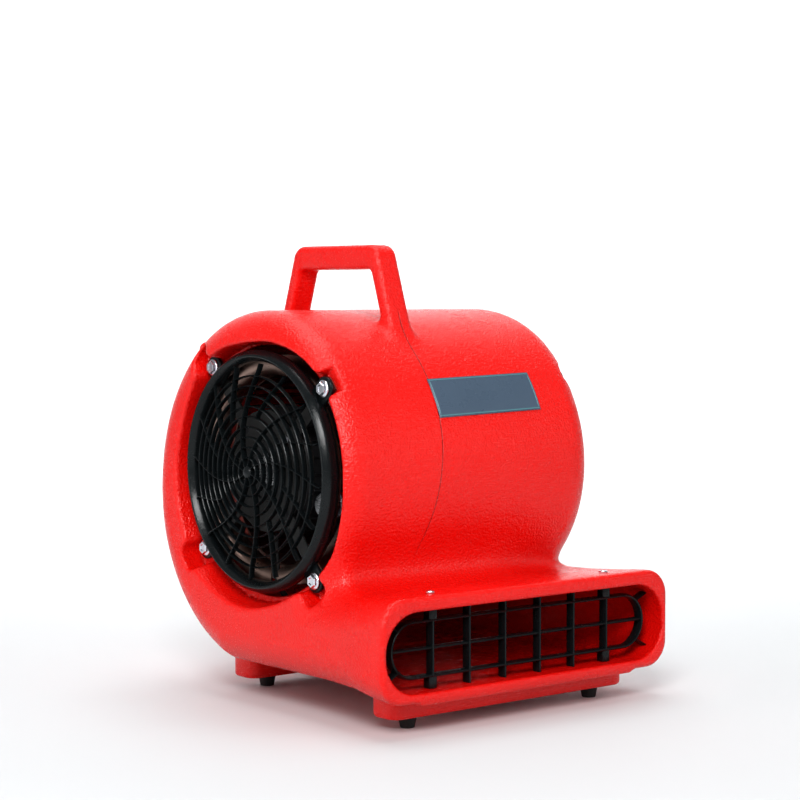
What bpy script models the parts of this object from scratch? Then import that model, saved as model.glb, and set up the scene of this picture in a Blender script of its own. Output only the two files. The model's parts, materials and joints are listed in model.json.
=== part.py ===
"""Commercial air mover: a moulded volute housing with a double-inlet centrifugal blower inside.

Metres, +Z up. The outlet faces -Y and the blower axis runs along X. The origin is on the floor,
under the centre of the whole object.
"""

import math

import bmesh
import bpy
from mathutils import Matrix, Vector

# ---------------------------------------------------------------- driving dimensions
GAP = 0.0003  # clearance between pieces that touch

FRONT_REACH = 0.220  # blower axis to the front of the outlet lip
REAR_REACH = 0.196  # blower axis to the tip of the speed knob
AXIS_Y = (FRONT_REACH - REAR_REACH) / 2
AXIS_Z = 0.237

WALL = 0.005  # moulded wall
DRUM_NEAR_X = -0.182  # flat side with the motor
DRUM_FAR_X = 0.158
RIM_RADIUS = 0.036  # rounding between the drum and its flat sides
VOLUTE_STEP = 30  # degrees from one volute radius to the next
VOLUTE_RADII = (  # from the front, over the top and the rear, to the bottom
    0.150, 0.151, 0.157, 0.161, 0.167, 0.1735, 0.1835, 0.198, 0.2075, 0.209,
)
FLOOR_Z = 0.037  # underside of the housing

LIP_HALF_WIDTH = 0.189
LIP_TOP_Z = 0.132
LIP_BOTTOM_Z = 0.032
LIP_CORNER = 0.028
THROAT_Z = 0.1275  # top of the duct where the drum rises out of it
THROAT_FILLET = 0.028
OUTLET_HALF_WIDTH = 0.183
OUTLET_TOP_Z = 0.118
OUTLET_BOTTOM_Z = 0.041
OUTLET_CORNER = 0.0375

HANDLE_X = -0.050
HANDLE_WIDTH = 0.028
HANDLE_TOP_Z = 0.4645
HANDLE_GRIP_HEIGHT = 0.0250
HANDLE_LEG = 0.016

RAIL_BOTTOM_Z = 0.0120
RAIL_DEPTH = 0.040
RAILS = (  # centre from the blower axis along Y, half width, foot distance from the middle
    (-0.174, 0.154, 0.121),
    (0.087, 0.133, 0.099),
)

RECESS_DEPTH = 0.0244  # flat drum side to the pads behind the inlet grille
RECESS_RADIUS = 0.1285  # at the pads
RECESS_MOUTH = 0.1390  # at the flat side, where the dish sits lower and further back
RECESS_SHIFT = 0.0046
INLET_RADIUS = 0.1265
BOLT_CIRCLE = 0.1335
BOLT_TURN = math.radians(45 + 4.6)
LOBE_RADIUS = 0.0169

GRILLE_RING_OUT = 0.1225
GRILLE_RING_IN = 0.1065
GRILLE_DOME = 0.009
GRILLE_DEPTH = 0.017  # seat to the face of the heavy ring
GRILLE_EAR = 0.012
EAR_THICK = 0.004
SHEET = 0.002  # motor bracket sheet
RING_SHEET = 0.0015  # inlet ring sheet

WHEEL_RADIUS = 0.1165
WHEEL_EYE = 0.0985
WHEEL_NEAR_X = -0.135
WHEEL_FAR_X = 0.112
DISC_X = -0.004
BLADE_COUNT = 24

MOTOR_RADIUS = 0.065
SHAFT_RADIUS = 0.006

PANEL_X = 0.030
PANEL_Z = 0.245
PANEL_WIDTH = 0.108
PANEL_HEIGHT = 0.076
PANEL_SEAT_Y = 0.1660  # pocket floor, from the blower axis
PANEL_THICK = 0.0025

PAD_NEAR_X = DRUM_NEAR_X + RECESS_DEPTH
PAD_FAR_X = DRUM_FAR_X - RECESS_DEPTH


# ---------------------------------------------------------------- shared tools
def clear_scene():
    for obj in list(bpy.data.objects):
        bpy.data.objects.remove(obj, do_unlink=True)


def material(name, colour, roughness=0.5, metallic=0.0):
    """One Principled material."""
    made = bpy.data.materials.new(name)
    made.use_nodes = True
    shader = made.node_tree.nodes["Principled BSDF"]
    shader.inputs["Base Color"].default_value = (*colour, 1.0)
    shader.inputs["Roughness"].default_value = roughness
    shader.inputs["Metallic"].default_value = metallic
    made.diffuse_color = (*colour, 1.0)
    return made


def finish_mesh(bm, name, mat, smooth=True):
    """Turn a bmesh into a named object."""
    bmesh.ops.remove_doubles(bm, verts=bm.verts, dist=1e-6)
    bmesh.ops.recalc_face_normals(bm, faces=bm.faces)
    mesh = bpy.data.meshes.new(name)
    bm.to_mesh(mesh)
    bm.free()
    if smooth:
        mesh.shade_smooth()
        mesh.set_sharp_from_angle(angle=math.radians(35))
    obj = bpy.data.objects.new(name, mesh)
    bpy.context.scene.collection.objects.link(obj)
    if mat:
        mesh.materials.append(mat)
    return obj


def cut_or_join(obj, others, operation):
    """Apply exact Booleans with helper objects, and remove the helpers."""
    for other in others:
        step = obj.modifiers.new("step", "BOOLEAN")
        step.solver = "EXACT"
        step.operation = operation
        step.object = other
        bpy.context.view_layer.update()
        graph = bpy.context.evaluated_depsgraph_get()
        mesh = bpy.data.meshes.new_from_object(obj.evaluated_get(graph))
        obj.modifiers.clear()
        obj.data = mesh
        bpy.data.objects.remove(other, do_unlink=True)
    obj.data.shade_smooth()
    obj.data.set_sharp_from_angle(angle=math.radians(35))
    return obj


def subtract(obj, *others):
    return cut_or_join(obj, others, "DIFFERENCE")


def unite(obj, *others):
    return cut_or_join(obj, others, "UNION")


def skin_loops(bm, loops, closed=False):
    """Quads between matching loops of points. Open stacks get end caps."""
    rings = [[bm.verts.new(p) for p in loop] for loop in loops]
    pairs = list(zip(rings, rings[1:]))
    if closed:
        pairs.append((rings[-1], rings[0]))
    count = len(rings[0])
    for a, b in pairs:
        for i in range(count):
            j = (i + 1) % count
            bm.faces.new((a[i], a[j], b[j], b[i]))
    if not closed:
        bm.faces.new(rings[0][::-1])
        bm.faces.new(rings[-1])


def lofted(name, loops, mat=None):
    bm = bmesh.new()
    skin_loops(bm, loops)
    return finish_mesh(bm, name, mat)


def turned(name, profile, segments, mat=None, axis="X", centre=(0, 0, 0), ring=False):
    """Turn (along, radius) points about an axis. A ring's profile closes on itself off the axis."""
    place = {
        "X": lambda a, r, t: (a, r * math.cos(t), r * math.sin(t)),
        "Y": lambda a, r, t: (r * math.cos(t), a, r * math.sin(t)),
        "Z": lambda a, r, t: (r * math.cos(t), r * math.sin(t), a),
    }[axis]
    centre = Vector(centre)
    angles = [2 * math.pi * (i + 0.5) / segments for i in range(segments)]
    loops = [[centre + Vector(place(a, r, t)) for t in angles] for a, r in profile]
    bm = bmesh.new()
    skin_loops(bm, loops, closed=ring)
    return finish_mesh(bm, name, mat)


def arc(centre, radius, start, end, steps):
    """Points along an arc, angles in degrees."""
    points = []
    for i in range(steps + 1):
        t = math.radians(start + (end - start) * i / steps)
        points.append((centre[0] + radius * math.cos(t), centre[1] + radius * math.sin(t)))
    return points


def rounded_rect(lo, hi, radius, steps=4):
    """Outline of a rectangle with round corners, anticlockwise."""
    (x0, y0), (x1, y1) = lo, hi
    return (
        arc((x1 - radius, y0 + radius), radius, -90, 0, steps)
        + arc((x1 - radius, y1 - radius), radius, 0, 90, steps)
        + arc((x0 + radius, y1 - radius), radius, 90, 180, steps)
        + arc((x0 + radius, y0 + radius), radius, 180, 270, steps)
    )


def inset(outline, distance):
    """Move each side of a closed anticlockwise outline inwards."""
    count = len(outline)
    moved = []
    for i in range(count):
        before = Vector(outline[i - 1])
        here = Vector(outline[i])
        after = Vector(outline[(i + 1) % count])
        d1 = (here - before).normalized()
        d2 = (after - here).normalized()
        n1 = Vector((-d1.y, d1.x))
        n2 = Vector((-d2.y, d2.x))
        mid = (n1 + n2).normalized()
        moved.append(tuple(here + mid * distance / max(mid.dot(n1), 0.5)))
    return moved


def prism(name, outline, lo, hi, axis, mat=None):
    """Extrude an outline along an axis: (y, z) for X, (x, z) for Y and (x, y) for Z."""
    place = {
        "X": lambda p, d: (d, p[0], p[1]),
        "Y": lambda p, d: (p[0], d, p[1]),
        "Z": lambda p, d: (p[0], p[1], d),
    }[axis]
    return lofted(name, [[place(p, d) for p in outline] for d in (lo, hi)], mat)


def cushion_prism(name, outline, lo, hi, axis, edge, steps=2, mat=None):
    """A prism whose two end edges are rounded by insetting the outline."""
    place = {
        "X": lambda p, d: (d, p[0], p[1]),
        "Y": lambda p, d: (p[0], d, p[1]),
        "Z": lambda p, d: (p[0], p[1], d),
    }[axis]
    loops = []
    for i in range(steps + 1):
        t = math.pi / 2 * i / steps
        shrink = edge * (1 - math.sin(t))
        depth = lo + edge * (1 - math.cos(t))
        loops.append([place(p, depth) for p in inset(outline, shrink)])
    for i in range(steps, -1, -1):
        t = math.pi / 2 * i / steps
        shrink = edge * (1 - math.sin(t))
        depth = hi - edge * (1 - math.cos(t))
        loops.append([place(p, depth) for p in inset(outline, shrink)])
    return lofted(name, loops, mat)


def at_axis(y, z):
    """A point given from the blower axis, in the object's frame."""
    return (y + AXIS_Y, z + AXIS_Z)


def around_axis(radius, angle):
    """A (y, z) point at an angle about the blower axis, from the rear (+Y) towards the top."""
    return at_axis(radius * math.cos(angle), radius * math.sin(angle))


def bolt_angles():
    return [BOLT_TURN + k * math.pi / 2 for k in range(4)]


# ---------------------------------------------------------------- housing
def volute_radius(turn):
    """Outer radius at a turn in degrees from the front, smooth through the given radii."""
    place = max(turn, 0.0) / VOLUTE_STEP
    k = min(int(place), len(VOLUTE_RADII) - 2)
    t = place - k
    a, b, c, d = (VOLUTE_RADII[min(max(k + i, 0), len(VOLUTE_RADII) - 1)] for i in (-1, 0, 1, 2))
    return 0.5 * (2 * b + (c - a) * t + (2 * a - 5 * b + 4 * c - d) * t * t + (3 * b - a - 3 * c + d) * t**3)


def drum_outline(shrink=0.0, steps=22):
    """Volute section: a slowly growing curve from the front over the top to the flat bottom."""
    first, last = -46, 252
    points = []
    for i in range(steps + 1):
        turn = first + (last - first) * i / steps
        radius = volute_radius(turn) - shrink
        t = math.radians(turn)
        points.append(at_axis(-radius * math.cos(t), radius * math.sin(t)))
    points.append((AXIS_Y - 0.100, FLOOR_Z + shrink))
    return points[::-1]


def drum_body(name, shrink):
    """The drum as a stack of sections, drawn in towards both flat sides."""
    outline = drum_outline(shrink)
    rim = RIM_RADIUS - shrink
    near, far = DRUM_NEAR_X + shrink, DRUM_FAR_X - shrink
    steps = 3
    loops = []
    for side, sign in ((near, 1), (far, -1)):
        half = []
        for i in range(steps + 1):
            t = math.pi / 2 * i / steps
            x = side + sign * rim * (1 - math.cos(t))
            half.append([(x, *p) for p in inset(outline, rim * (1 - math.sin(t)))])
        loops += half if sign > 0 else half[::-1]
    return lofted(name, loops)


def duct_body(name, shrink):
    """The wide outlet duct, lofted from the lip back into the drum."""
    stations = (  # y from the blower axis, near x, far x, bottom z, top z, corner radius
        (-0.2200, -0.1850, 0.1850, LIP_BOTTOM_Z + 0.004, LIP_TOP_Z - 0.004, 0.025),
        (-0.2170, -0.1878, 0.1878, LIP_BOTTOM_Z + 0.001, LIP_TOP_Z - 0.001, 0.027),
        (-0.2100, -LIP_HALF_WIDTH, LIP_HALF_WIDTH, LIP_BOTTOM_Z, LIP_TOP_Z, LIP_CORNER),
        (-0.1850, -0.1885, LIP_HALF_WIDTH, 0.033, 0.1300, 0.030),
        (-0.1500, -0.1860, 0.1860, 0.036, THROAT_Z, 0.034),
        (-0.1000, -0.1830, 0.1740, FLOOR_Z, THROAT_Z - 0.001, 0.036),
        (-0.0400, -0.1820, 0.1590, FLOOR_Z, THROAT_Z - 0.001, 0.036),
        (0.0300, -0.1805, 0.1565, FLOOR_Z + 0.001, THROAT_Z - 0.001, 0.036),
    )
    loops = []
    for y, near, far, low, high, corner in stations:
        section = rounded_rect((near, low), (far, high), corner)
        loops.append([(x, y + AXIS_Y, z) for x, z in section])
    return lofted(name, loops)


def duct_cavity(name):
    """The air space of the duct, running out through the lip."""
    stations = (
        (-0.2300, -OUTLET_HALF_WIDTH, OUTLET_HALF_WIDTH, OUTLET_BOTTOM_Z, OUTLET_TOP_Z, OUTLET_CORNER),
        (-0.1850, -OUTLET_HALF_WIDTH, OUTLET_HALF_WIDTH, OUTLET_BOTTOM_Z, OUTLET_TOP_Z, OUTLET_CORNER),
        (-0.1500, -0.1800, 0.1800, FLOOR_Z + WALL, 0.1205, 0.036),
        (-0.1000, -0.1775, 0.1680, FLOOR_Z + WALL, 0.1205, 0.034),
        (-0.0400, -0.1770, 0.1530, FLOOR_Z + WALL, 0.1205, 0.030),
        (0.0000, -0.1765, 0.1520, FLOOR_Z + WALL, 0.1205, 0.030),
    )
    loops = []
    for y, near, far, low, high, corner in stations:
        section = rounded_rect((near, low), (far, high), corner)
        loops.append([(x, y + AXIS_Y, z) for x, z in section])
    return lofted(name, loops)


def rim_drop(x):
    """How far the rim rounding has drawn the drum in at x."""
    past = max(DRUM_NEAR_X + RIM_RADIUS - x, x - (DRUM_FAR_X - RIM_RADIUS), 0.0)
    return RIM_RADIUS - math.sqrt(RIM_RADIUS**2 - past**2)


def throat_fillet(name):
    """The hollow curve that joins the front of the drum to the top of the duct, following both rims."""
    bite = 0.0006
    loops = []
    for x in (-0.168, -0.160, -0.146, 0.122, 0.136, 0.147):
        drop = rim_drop(x)
        radius = THROAT_FILLET - (0.9 if x < 0 else 1.3) * drop
        drum = volute_radius(0) - drop - bite
        top = THROAT_Z - AXIS_Z - bite - (drop if x < 0 else 0.3 * drop)
        centre_z = top + radius
        centre_y = -math.sqrt((drum + radius) ** 2 - centre_z**2)
        meet = math.degrees(math.atan2(-centre_z, -centre_y))
        section = arc(at_axis(centre_y, centre_z), radius, -90, meet, 5)
        section += [at_axis(-0.090, centre_z), at_axis(-0.090, top - 0.003)]
        loops.append([(x, y, z) for y, z in section])
    return lofted(name, loops)


def dish(name, side_x, pad_x, grow, past):
    """The tapered space round the inlet, with a lobe for each grille ear, from the flat side to the pads."""
    mouth = side_x + math.copysign(past, side_x)
    stretch = 1 + past / RECESS_DEPTH
    angles = [2 * math.pi * (i + 0.5) / 32 for i in range(32)]
    loops = []
    for x, share in ((mouth, stretch), (pad_x, 0.0)):
        radius = RECESS_RADIUS + (RECESS_MOUTH - RECESS_RADIUS) * share + grow
        shift = RECESS_SHIFT * share
        loops.append([(x, *at_axis(radius * math.cos(t) + shift, radius * math.sin(t) - shift)) for t in angles])
    body = lofted(name, loops)
    lobes = []
    for angle in bolt_angles():
        y, z = around_axis(BOLT_CIRCLE, angle)
        cone = [(mouth, LOBE_RADIUS + 0.006 * stretch + grow), (pad_x, LOBE_RADIUS + grow)]
        lobes.append(turned("lobe", cone, 12, centre=(0, y, z)))
    return unite(body, *lobes)


def recess_cut(name, side_x, pad_x):
    return dish(name, side_x, pad_x, 0.0, 0.004)


def recess_wall(name, side_x, pad_x):
    """The material that stays behind the dish, one wall thicker than its cut all round."""
    inward = math.copysign(WALL, -side_x)
    return dish(name, side_x, pad_x + inward, WALL, 0.0)


def handle_outlines():
    """Outer and inner outlines of the carrying handle, as (y, z) from the blower axis."""
    top = HANDLE_TOP_Z - AXIS_Z
    under = top - HANDLE_GRIP_HEIGHT
    lean = math.radians(18.4)
    slope = math.tan(lean)
    foot = 0.100
    front_top, rear_top = -0.0515, 0.0840
    outer = [
        (front_top - slope * (top - foot), foot),
        (rear_top + slope * (top - foot), foot),
        (rear_top + slope * 0.011, top - 0.011),
        (rear_top - 0.003, top - 0.0025),
        (rear_top - 0.013, top),
        (front_top + 0.013, top),
        (front_top + 0.003, top - 0.0025),
        (front_top - slope * 0.011, top - 0.011),
    ]
    across = HANDLE_LEG / math.cos(lean)
    front_in = front_top - slope * (top - under) + across
    rear_in = rear_top + slope * (top - under) - across
    base = 0.140
    inner = [
        (front_in - slope * (under - base), base),
        (rear_in + slope * (under - base), base),
        (rear_in + slope * 0.003, under - 0.003),
        (rear_in - 0.004, under),
        (front_in + 0.004, under),
        (front_in - slope * 0.003, under - 0.003),
    ]
    return [at_axis(*p) for p in outer], [at_axis(*p) for p in inner]


def carrying_handle(name):
    outer, inner = handle_outlines()
    lo, hi = HANDLE_X - HANDLE_WIDTH / 2, HANDLE_X + HANDLE_WIDTH / 2
    body = cushion_prism(name, outer, lo, hi, "X", 0.005)
    gap = prism("handle_gap", inner, lo - 0.01, hi + 0.01, "X")
    return subtract(body, gap)


def base_rail(name, centre_y, half_width, top_z):
    lo = (-half_width, centre_y + AXIS_Y - RAIL_DEPTH / 2)
    hi = (half_width, centre_y + AXIS_Y + RAIL_DEPTH / 2)
    outline = rounded_rect(lo, hi, 0.014, 3)
    return cushion_prism(name, outline, RAIL_BOTTOM_Z, top_z, "Z", 0.004, 1)


def lip_chin(name):
    """The lower edge of the lip hangs a little deeper over its middle stretch."""
    outline = [
        (-0.150, 0.040),
        (-0.138, 0.029),
        (0.138, 0.029),
        (0.150, 0.040),
    ]
    return prism(name, outline, -0.2175 + AXIS_Y, -0.200 + AXIS_Y, "Y")


def cord_lug(name, x):
    """A moulded nub on the upper rear of the drum, one of two that the cord is wound round."""
    middle = math.radians(40.5)
    out = Vector((0.0, math.cos(middle), math.sin(middle)))
    side = Vector((1.0, 0.0, 0.0))
    up = out.cross(side)
    root = Vector((x, AXIS_Y, AXIS_Z))
    loops = []
    for reach, radius in ((0.150, 0.0075), (0.181, 0.0075), (0.184, 0.0095), (0.189, 0.0095), (0.192, 0.0060)):
        section = arc((0.0, 0.0), radius, 0, 324, 9)
        loops.append([root + out * reach + side * a + up * b for a, b in section])
    return lofted(name, loops)


def panel_pocket(name, depth_y):
    """The squared pocket in the rear of the drum that the control panel sits in."""
    margin = 0.003
    lo = (PANEL_X - PANEL_WIDTH / 2 - margin, PANEL_Z - PANEL_HEIGHT / 2 - margin)
    hi = (PANEL_X + PANEL_WIDTH / 2 + margin, PANEL_Z + PANEL_HEIGHT / 2 + margin)
    loops = []
    for y, grow in ((depth_y, 0.0), (0.205, 0.006)):
        section = rounded_rect((lo[0] - grow, lo[1] - grow), (hi[0] + grow, hi[1] + grow), 0.008, 2)
        loops.append([(x, y + AXIS_Y, z) for x, z in section])
    return lofted(name, loops)


def panel_backing(name):
    """The wall that stays behind the pocket."""
    lo = (PANEL_X - PANEL_WIDTH / 2 - 0.010, PANEL_Z - PANEL_HEIGHT / 2 - 0.010)
    hi = (PANEL_X + PANEL_WIDTH / 2 + 0.010, PANEL_Z + PANEL_HEIGHT / 2 + 0.010)
    section = rounded_rect(lo, hi, 0.010, 2)
    return prism(name, section, PANEL_SEAT_Y - WALL + AXIS_Y, 0.20 + AXIS_Y, "Y")


def make_housing(mat):
    shell = unite(
        drum_body("housing", 0.0),
        duct_body("duct", 0.0),
        throat_fillet("throat"),
        carrying_handle("handle"),
        *[base_rail("rail", y, half, FLOOR_Z + 0.010 + 0.020 * (y > 0)) for y, half, _ in RAILS],
        lip_chin("chin"),
        cord_lug("lug", -0.138),
        cord_lug("lug", 0.118),
    )
    air = unite(drum_body("air", WALL), duct_cavity("duct_air"))
    air = subtract(
        air,
        recess_wall("near_wall", DRUM_NEAR_X, PAD_NEAR_X),
        recess_wall("far_wall", DRUM_FAR_X, PAD_FAR_X),
        panel_backing("panel_wall"),
    )
    opening = [(-0.20, INLET_RADIUS), (0.20, INLET_RADIUS)]
    window = prism(
        "window",
        rounded_rect((PANEL_X - 0.042, PANEL_Z - 0.028), (PANEL_X + 0.042, PANEL_Z + 0.028), 0.004, 1),
        PANEL_SEAT_Y - 0.010 + AXIS_Y,
        0.20 + AXIS_Y,
        "Y",
    )
    subtract(
        shell,
        air,
        recess_cut("near_dish", DRUM_NEAR_X, PAD_NEAR_X),
        recess_cut("far_dish", DRUM_FAR_X, PAD_FAR_X),
        turned("inlets", opening, 40, centre=(0, AXIS_Y, AXIS_Z)),
        panel_pocket("pocket", PANEL_SEAT_Y),
        window,
    )
    holes = []
    for angle in bolt_angles():
        y, z = around_axis(BOLT_CIRCLE, angle)
        holes.append(turned("hole", [(-0.20, 0.0034), (0.20, 0.0034)], 8, centre=(0, y, z)))
    for x, z in panel_screw_places():
        span = [(PANEL_SEAT_Y - 0.02 + AXIS_Y, 0.0018), (0.20 + AXIS_Y, 0.0018)]
        holes.append(turned("hole", span, 8, axis="Y", centre=(x, 0, z)))
    for x, y in outlet_screw_places():
        holes.append(turned("hole", [(0.02, 0.0022), (0.16, 0.0022)], 8, axis="Z", centre=(x, y, 0)))
    for x, y in foot_places():
        holes.append(turned("hole", [(0.0, 0.0024), (0.030, 0.0024)], 8, axis="Z", centre=(x, y, 0)))
    subtract(shell, *holes)
    shell.data.materials.clear()
    shell.data.materials.append(mat)
    return shell


# ---------------------------------------------------------------- places of fasteners
def outlet_screw_places():
    return [(side * 0.115, -0.2005 + AXIS_Y) for side in (-1, 1)]


def foot_places():
    return [(side * foot_x, y + AXIS_Y) for y, _, foot_x in RAILS for side in (-1, 1)]


def panel_screw_places():
    dx, dz = PANEL_WIDTH / 2 - 0.006, PANEL_HEIGHT / 2 - 0.006
    return [(PANEL_X + sx * dx, PANEL_Z + sz * dz) for sx in (-1, 1) for sz in (-1, 1)]


# ---------------------------------------------------------------- inlets
def make_inlet_grille(name, pad_x, mat):
    """Domed plastic guard: a heavy ring with four ears, fine rings and swept ribs."""
    out = math.copysign(1.0, pad_x)
    seat = pad_x + out * (GAP + RING_SHEET + GAP + SHEET + GAP)
    face = seat + out * GRILLE_DEPTH
    centre = (0, AXIS_Y, AXIS_Z)
    rim = [
        (seat, GRILLE_RING_IN + 0.002),
        (seat, GRILLE_RING_OUT - 0.001),
        (face - out * 0.003, GRILLE_RING_OUT),
        (face, GRILLE_RING_OUT - 0.005),
        (face, GRILLE_RING_IN + 0.005),
        (face - out * 0.003, GRILLE_RING_IN),
    ]
    grille = turned(name, rim, 28, mat, centre=centre, ring=True)

    def dome(radius):
        return face - out * 0.002 + out * GRILLE_DOME * (1 - (radius / GRILLE_RING_IN) ** 2)

    parts = []
    for angle in bolt_angles():
        y, z = around_axis(BOLT_CIRCLE, angle)
        ear_face = seat + out * EAR_THICK
        parts.append(turned("ear", [(seat, GRILLE_EAR), (ear_face, GRILLE_EAR)], 10, centre=(0, y, z)))
        parts.append(radial_strip("web", min(seat, ear_face), max(seat, ear_face), 0.1145, BOLT_CIRCLE, 0.0105, angle))
    for radius in (0.028, 0.055, 0.082):
        x = dome(radius)
        profile = [
            (x, radius - 0.001),
            (x - out * 0.006, radius - 0.001),
            (x - out * 0.006, radius + 0.001),
            (x, radius + 0.001),
        ]
        parts.append(turned("ring", profile, 20, centre=centre, ring=True))
    hub = [(dome(0) - out * 0.009, 0.007), (dome(0) + out * 0.0005, 0.007)]
    parts.append(turned("hub", hub, 8, centre=centre))
    for k in range(8):
        start = BOLT_TURN + k * math.pi / 4
        loops = []
        for i in range(4):
            radius = 0.004 + (GRILLE_RING_IN + 0.002 - 0.004) * i / 3
            sweep = math.radians(20) * (1 - (radius / GRILLE_RING_IN)) * out
            t = start + sweep
            y, z = around_axis(radius, t)
            side_y, side_z = -math.sin(t) * 0.0009, math.cos(t) * 0.0009
            x = dome(radius) + out * 0.0004
            loops.append([
                (x, y - side_y, z - side_z),
                (x, y + side_y, z + side_z),
                (x - out * 0.0075, y + side_y, z + side_z),
                (x - out * 0.0075, y - side_y, z - side_z),
            ])
        parts.append(lofted("rib", loops))
    unite(grille, *parts)
    holes = []
    for angle in bolt_angles():
        y, z = around_axis(BOLT_CIRCLE, angle)
        holes.append(turned("hole", [(seat - 0.01, 0.0034), (seat + 0.01, 0.0034)], 8, centre=(0, y, z)))
    return subtract(grille, *holes)


def make_inlet_ring(name, pad_x, mat, lead_angle=None):
    """Spun galvanised ring that leads the air into the wheel, with a tab at each bolt."""
    out = math.copysign(1.0, pad_x)
    back = pad_x + out * GAP
    front = back + out * RING_SHEET
    eye = 0.0960
    profile = [
        (front, 0.1180),
        (front, 0.1080),
        (front - out * 0.0020, 0.1025),
        (front - out * 0.0080, 0.0980),
        (front - out * 0.0180, eye),
        (front - out * 0.0180, eye + RING_SHEET),
        (front - out * 0.0085, 0.0980 + RING_SHEET),
        (back - out * 0.0020, 0.1040),
        (back, 0.1090),
        (back, 0.1180),
    ]
    ring = turned(name, profile, 24, mat, centre=(0, AXIS_Y, AXIS_Z), ring=True)
    tabs = []
    holes = []
    for angle in bolt_angles():
        tabs.append(radial_strip("tab", min(back, front), max(back, front), 0.112, 0.1415, 0.008, angle))
        y, z = around_axis(BOLT_CIRCLE, angle)
        holes.append(turned("hole", [(back - 0.01, 0.0034), (back + 0.01, 0.0034)], 8, centre=(0, y, z)))
    unite(ring, *tabs)
    if lead_angle is not None:
        holes.append(radial_strip("notch", pad_x - 0.008, pad_x + 0.010, 0.090, 0.125, 0.0048, lead_angle))
    return subtract(ring, *holes)


def radial_strip(name, x0, x1, r0, r1, half_width, angle, mat=None):
    """A flat bar lying along a radius of the blower axis."""
    corners = []
    for radius, side in ((r0, -1), (r1, -1), (r1, 1), (r0, 1)):
        y = radius * math.cos(angle) - side * half_width * math.sin(angle)
        z = radius * math.sin(angle) + side * half_width * math.cos(angle)
        corners.append(at_axis(y, z))
    return prism(name, corners, x0, x1, "X", mat)


def make_motor_bracket(mat):
    """Four-armed sheet cradle that hangs the motor from the near inlet bolts."""
    back = PAD_NEAR_X - GAP - RING_SHEET - GAP
    front = back - SHEET
    hub = [(front, 0.030), (front, 0.062), (back, 0.062), (back, 0.030)]
    bracket = turned("motor_bracket", hub, 24, mat, centre=(0, AXIS_Y, AXIS_Z), ring=True)
    arms = []
    holes = []
    for angle in bolt_angles():
        arms.append(radial_strip("arm", front, back, 0.055, 0.1415, 0.0075, angle))
        for radius, hole in ((BOLT_CIRCLE, 0.0034), (0.052, 0.0026)):
            y, z = around_axis(radius, angle)
            holes.append(turned("hole", [(front - 0.01, hole), (back + 0.01, hole)], 8, centre=(0, y, z)))
    unite(bracket, *arms)
    return subtract(bracket, *holes)


def make_flange_bolt(name, side, angle, mat):
    """Hexagon bolt with a flange, its axis along X, clamping the grille stack to the housing."""
    pad_x = PAD_NEAR_X if side < 0 else PAD_FAR_X
    y, z = around_axis(BOLT_CIRCLE, angle)
    head = pad_x + side * (GAP + RING_SHEET + GAP + SHEET + GAP + EAR_THICK + GAP)
    flange = turned(name, [(head, 0.0085), (head + side * 0.0016, 0.0083)], 10, mat, centre=(0, y, z))
    cap = turned("hex", [(head, 0.0062), (head + side * 0.0045, 0.0062)], 6, centre=(0, y, z))
    shank = turned("shank", [(head - side * 0.016, 0.0030), (head + side * 0.001, 0.0030)], 6, centre=(0, y, z))
    return unite(flange, cap, shank)


# ---------------------------------------------------------------- outlet
def bar_between(name, start, end, half_width, y0, y1):
    """A straight grille bar in the XZ plane."""
    (xa, za), (xb, zb) = start, end
    along = Vector((xb - xa, zb - za)).normalized()
    nx, nz = -along.y * half_width, along.x * half_width
    corners = [(xa - nx, za - nz), (xb - nx, zb - nz), (xb + nx, zb + nz), (xa + nx, za + nz)]
    return prism(name, corners, y0, y1, "Y")


def make_outlet_grille(mat):
    """Racetrack guard with one long bar, six uprights and four corner stubs."""
    front, back = -0.207 + AXIS_Y, -0.195 + AXIS_Y
    lo, hi = (-0.166, 0.0535), (0.166, 0.1065)
    outer = rounded_rect(lo, hi, 0.0262, 6)
    inner = inset(outer, 0.0028)
    bm = bmesh.new()
    skin_loops(
        bm,
        [[(x, y, z) for x, z in loop] for loop, y in ((outer, front), (outer, back), (inner, back), (inner, front))],
        closed=True,
    )
    grille = finish_mesh(bm, "outlet_grille", mat)
    top, bottom = OUTLET_TOP_Z - GAP, OUTLET_BOTTOM_Z + GAP
    bars = [bar_between("long_bar", (-0.165, 0.080), (0.165, 0.080), 0.0013, front + 0.001, back)]
    for x in (-0.115, -0.069, -0.023, 0.023, 0.069, 0.115):
        bars.append(bar_between("upright", (x, bottom), (x, top), 0.0014, front + 0.0005, back - 0.0005))
        if abs(x) > 0.1:
            bars.append(bar_between("boss", (x, bottom), (x, 0.055), 0.007, front, back))
            bars.append(bar_between("boss", (x, 0.105), (x, top), 0.007, front, back))
    for sx in (-1, 1):
        for sz in (-1, 1):
            start = (sx * 0.1560, 0.080 + sz * 0.0190)
            end = (sx * 0.1715, 0.0795 + sz * 0.0268)
            bars.append(bar_between("stub", start, end, 0.0014, front + 0.001, back))
    unite(grille, *bars)
    holes = []
    for x, y in outlet_screw_places():
        for z0, z1 in ((0.030, 0.050), (0.110, 0.130)):
            holes.append(turned("hole", [(z0, 0.0022), (z1, 0.0022)], 8, axis="Z", centre=(x, y, 0)))
    return subtract(grille, *holes)


def make_outlet_screw(name, x, y, above, mat):
    """Pan-head screw through the lip wall into the grille boss."""
    if above:
        seat, out = LIP_TOP_Z, 1
    else:
        seat, out = 0.0290 - GAP, -1
    head = [(seat, 0.0045), (seat + out * 0.0010, 0.0045), (seat + out * 0.0024, 0.0028)]
    screw = turned(name, head, 8, mat, axis="Z", centre=(x, y, 0))
    shank_end = 0.1125 if above else 0.0470
    shank = turned("shank", [(shank_end, 0.0018), (seat + out * 0.0005, 0.0018)], 6, axis="Z", centre=(x, y, 0))
    return unite(screw, shank)


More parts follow.
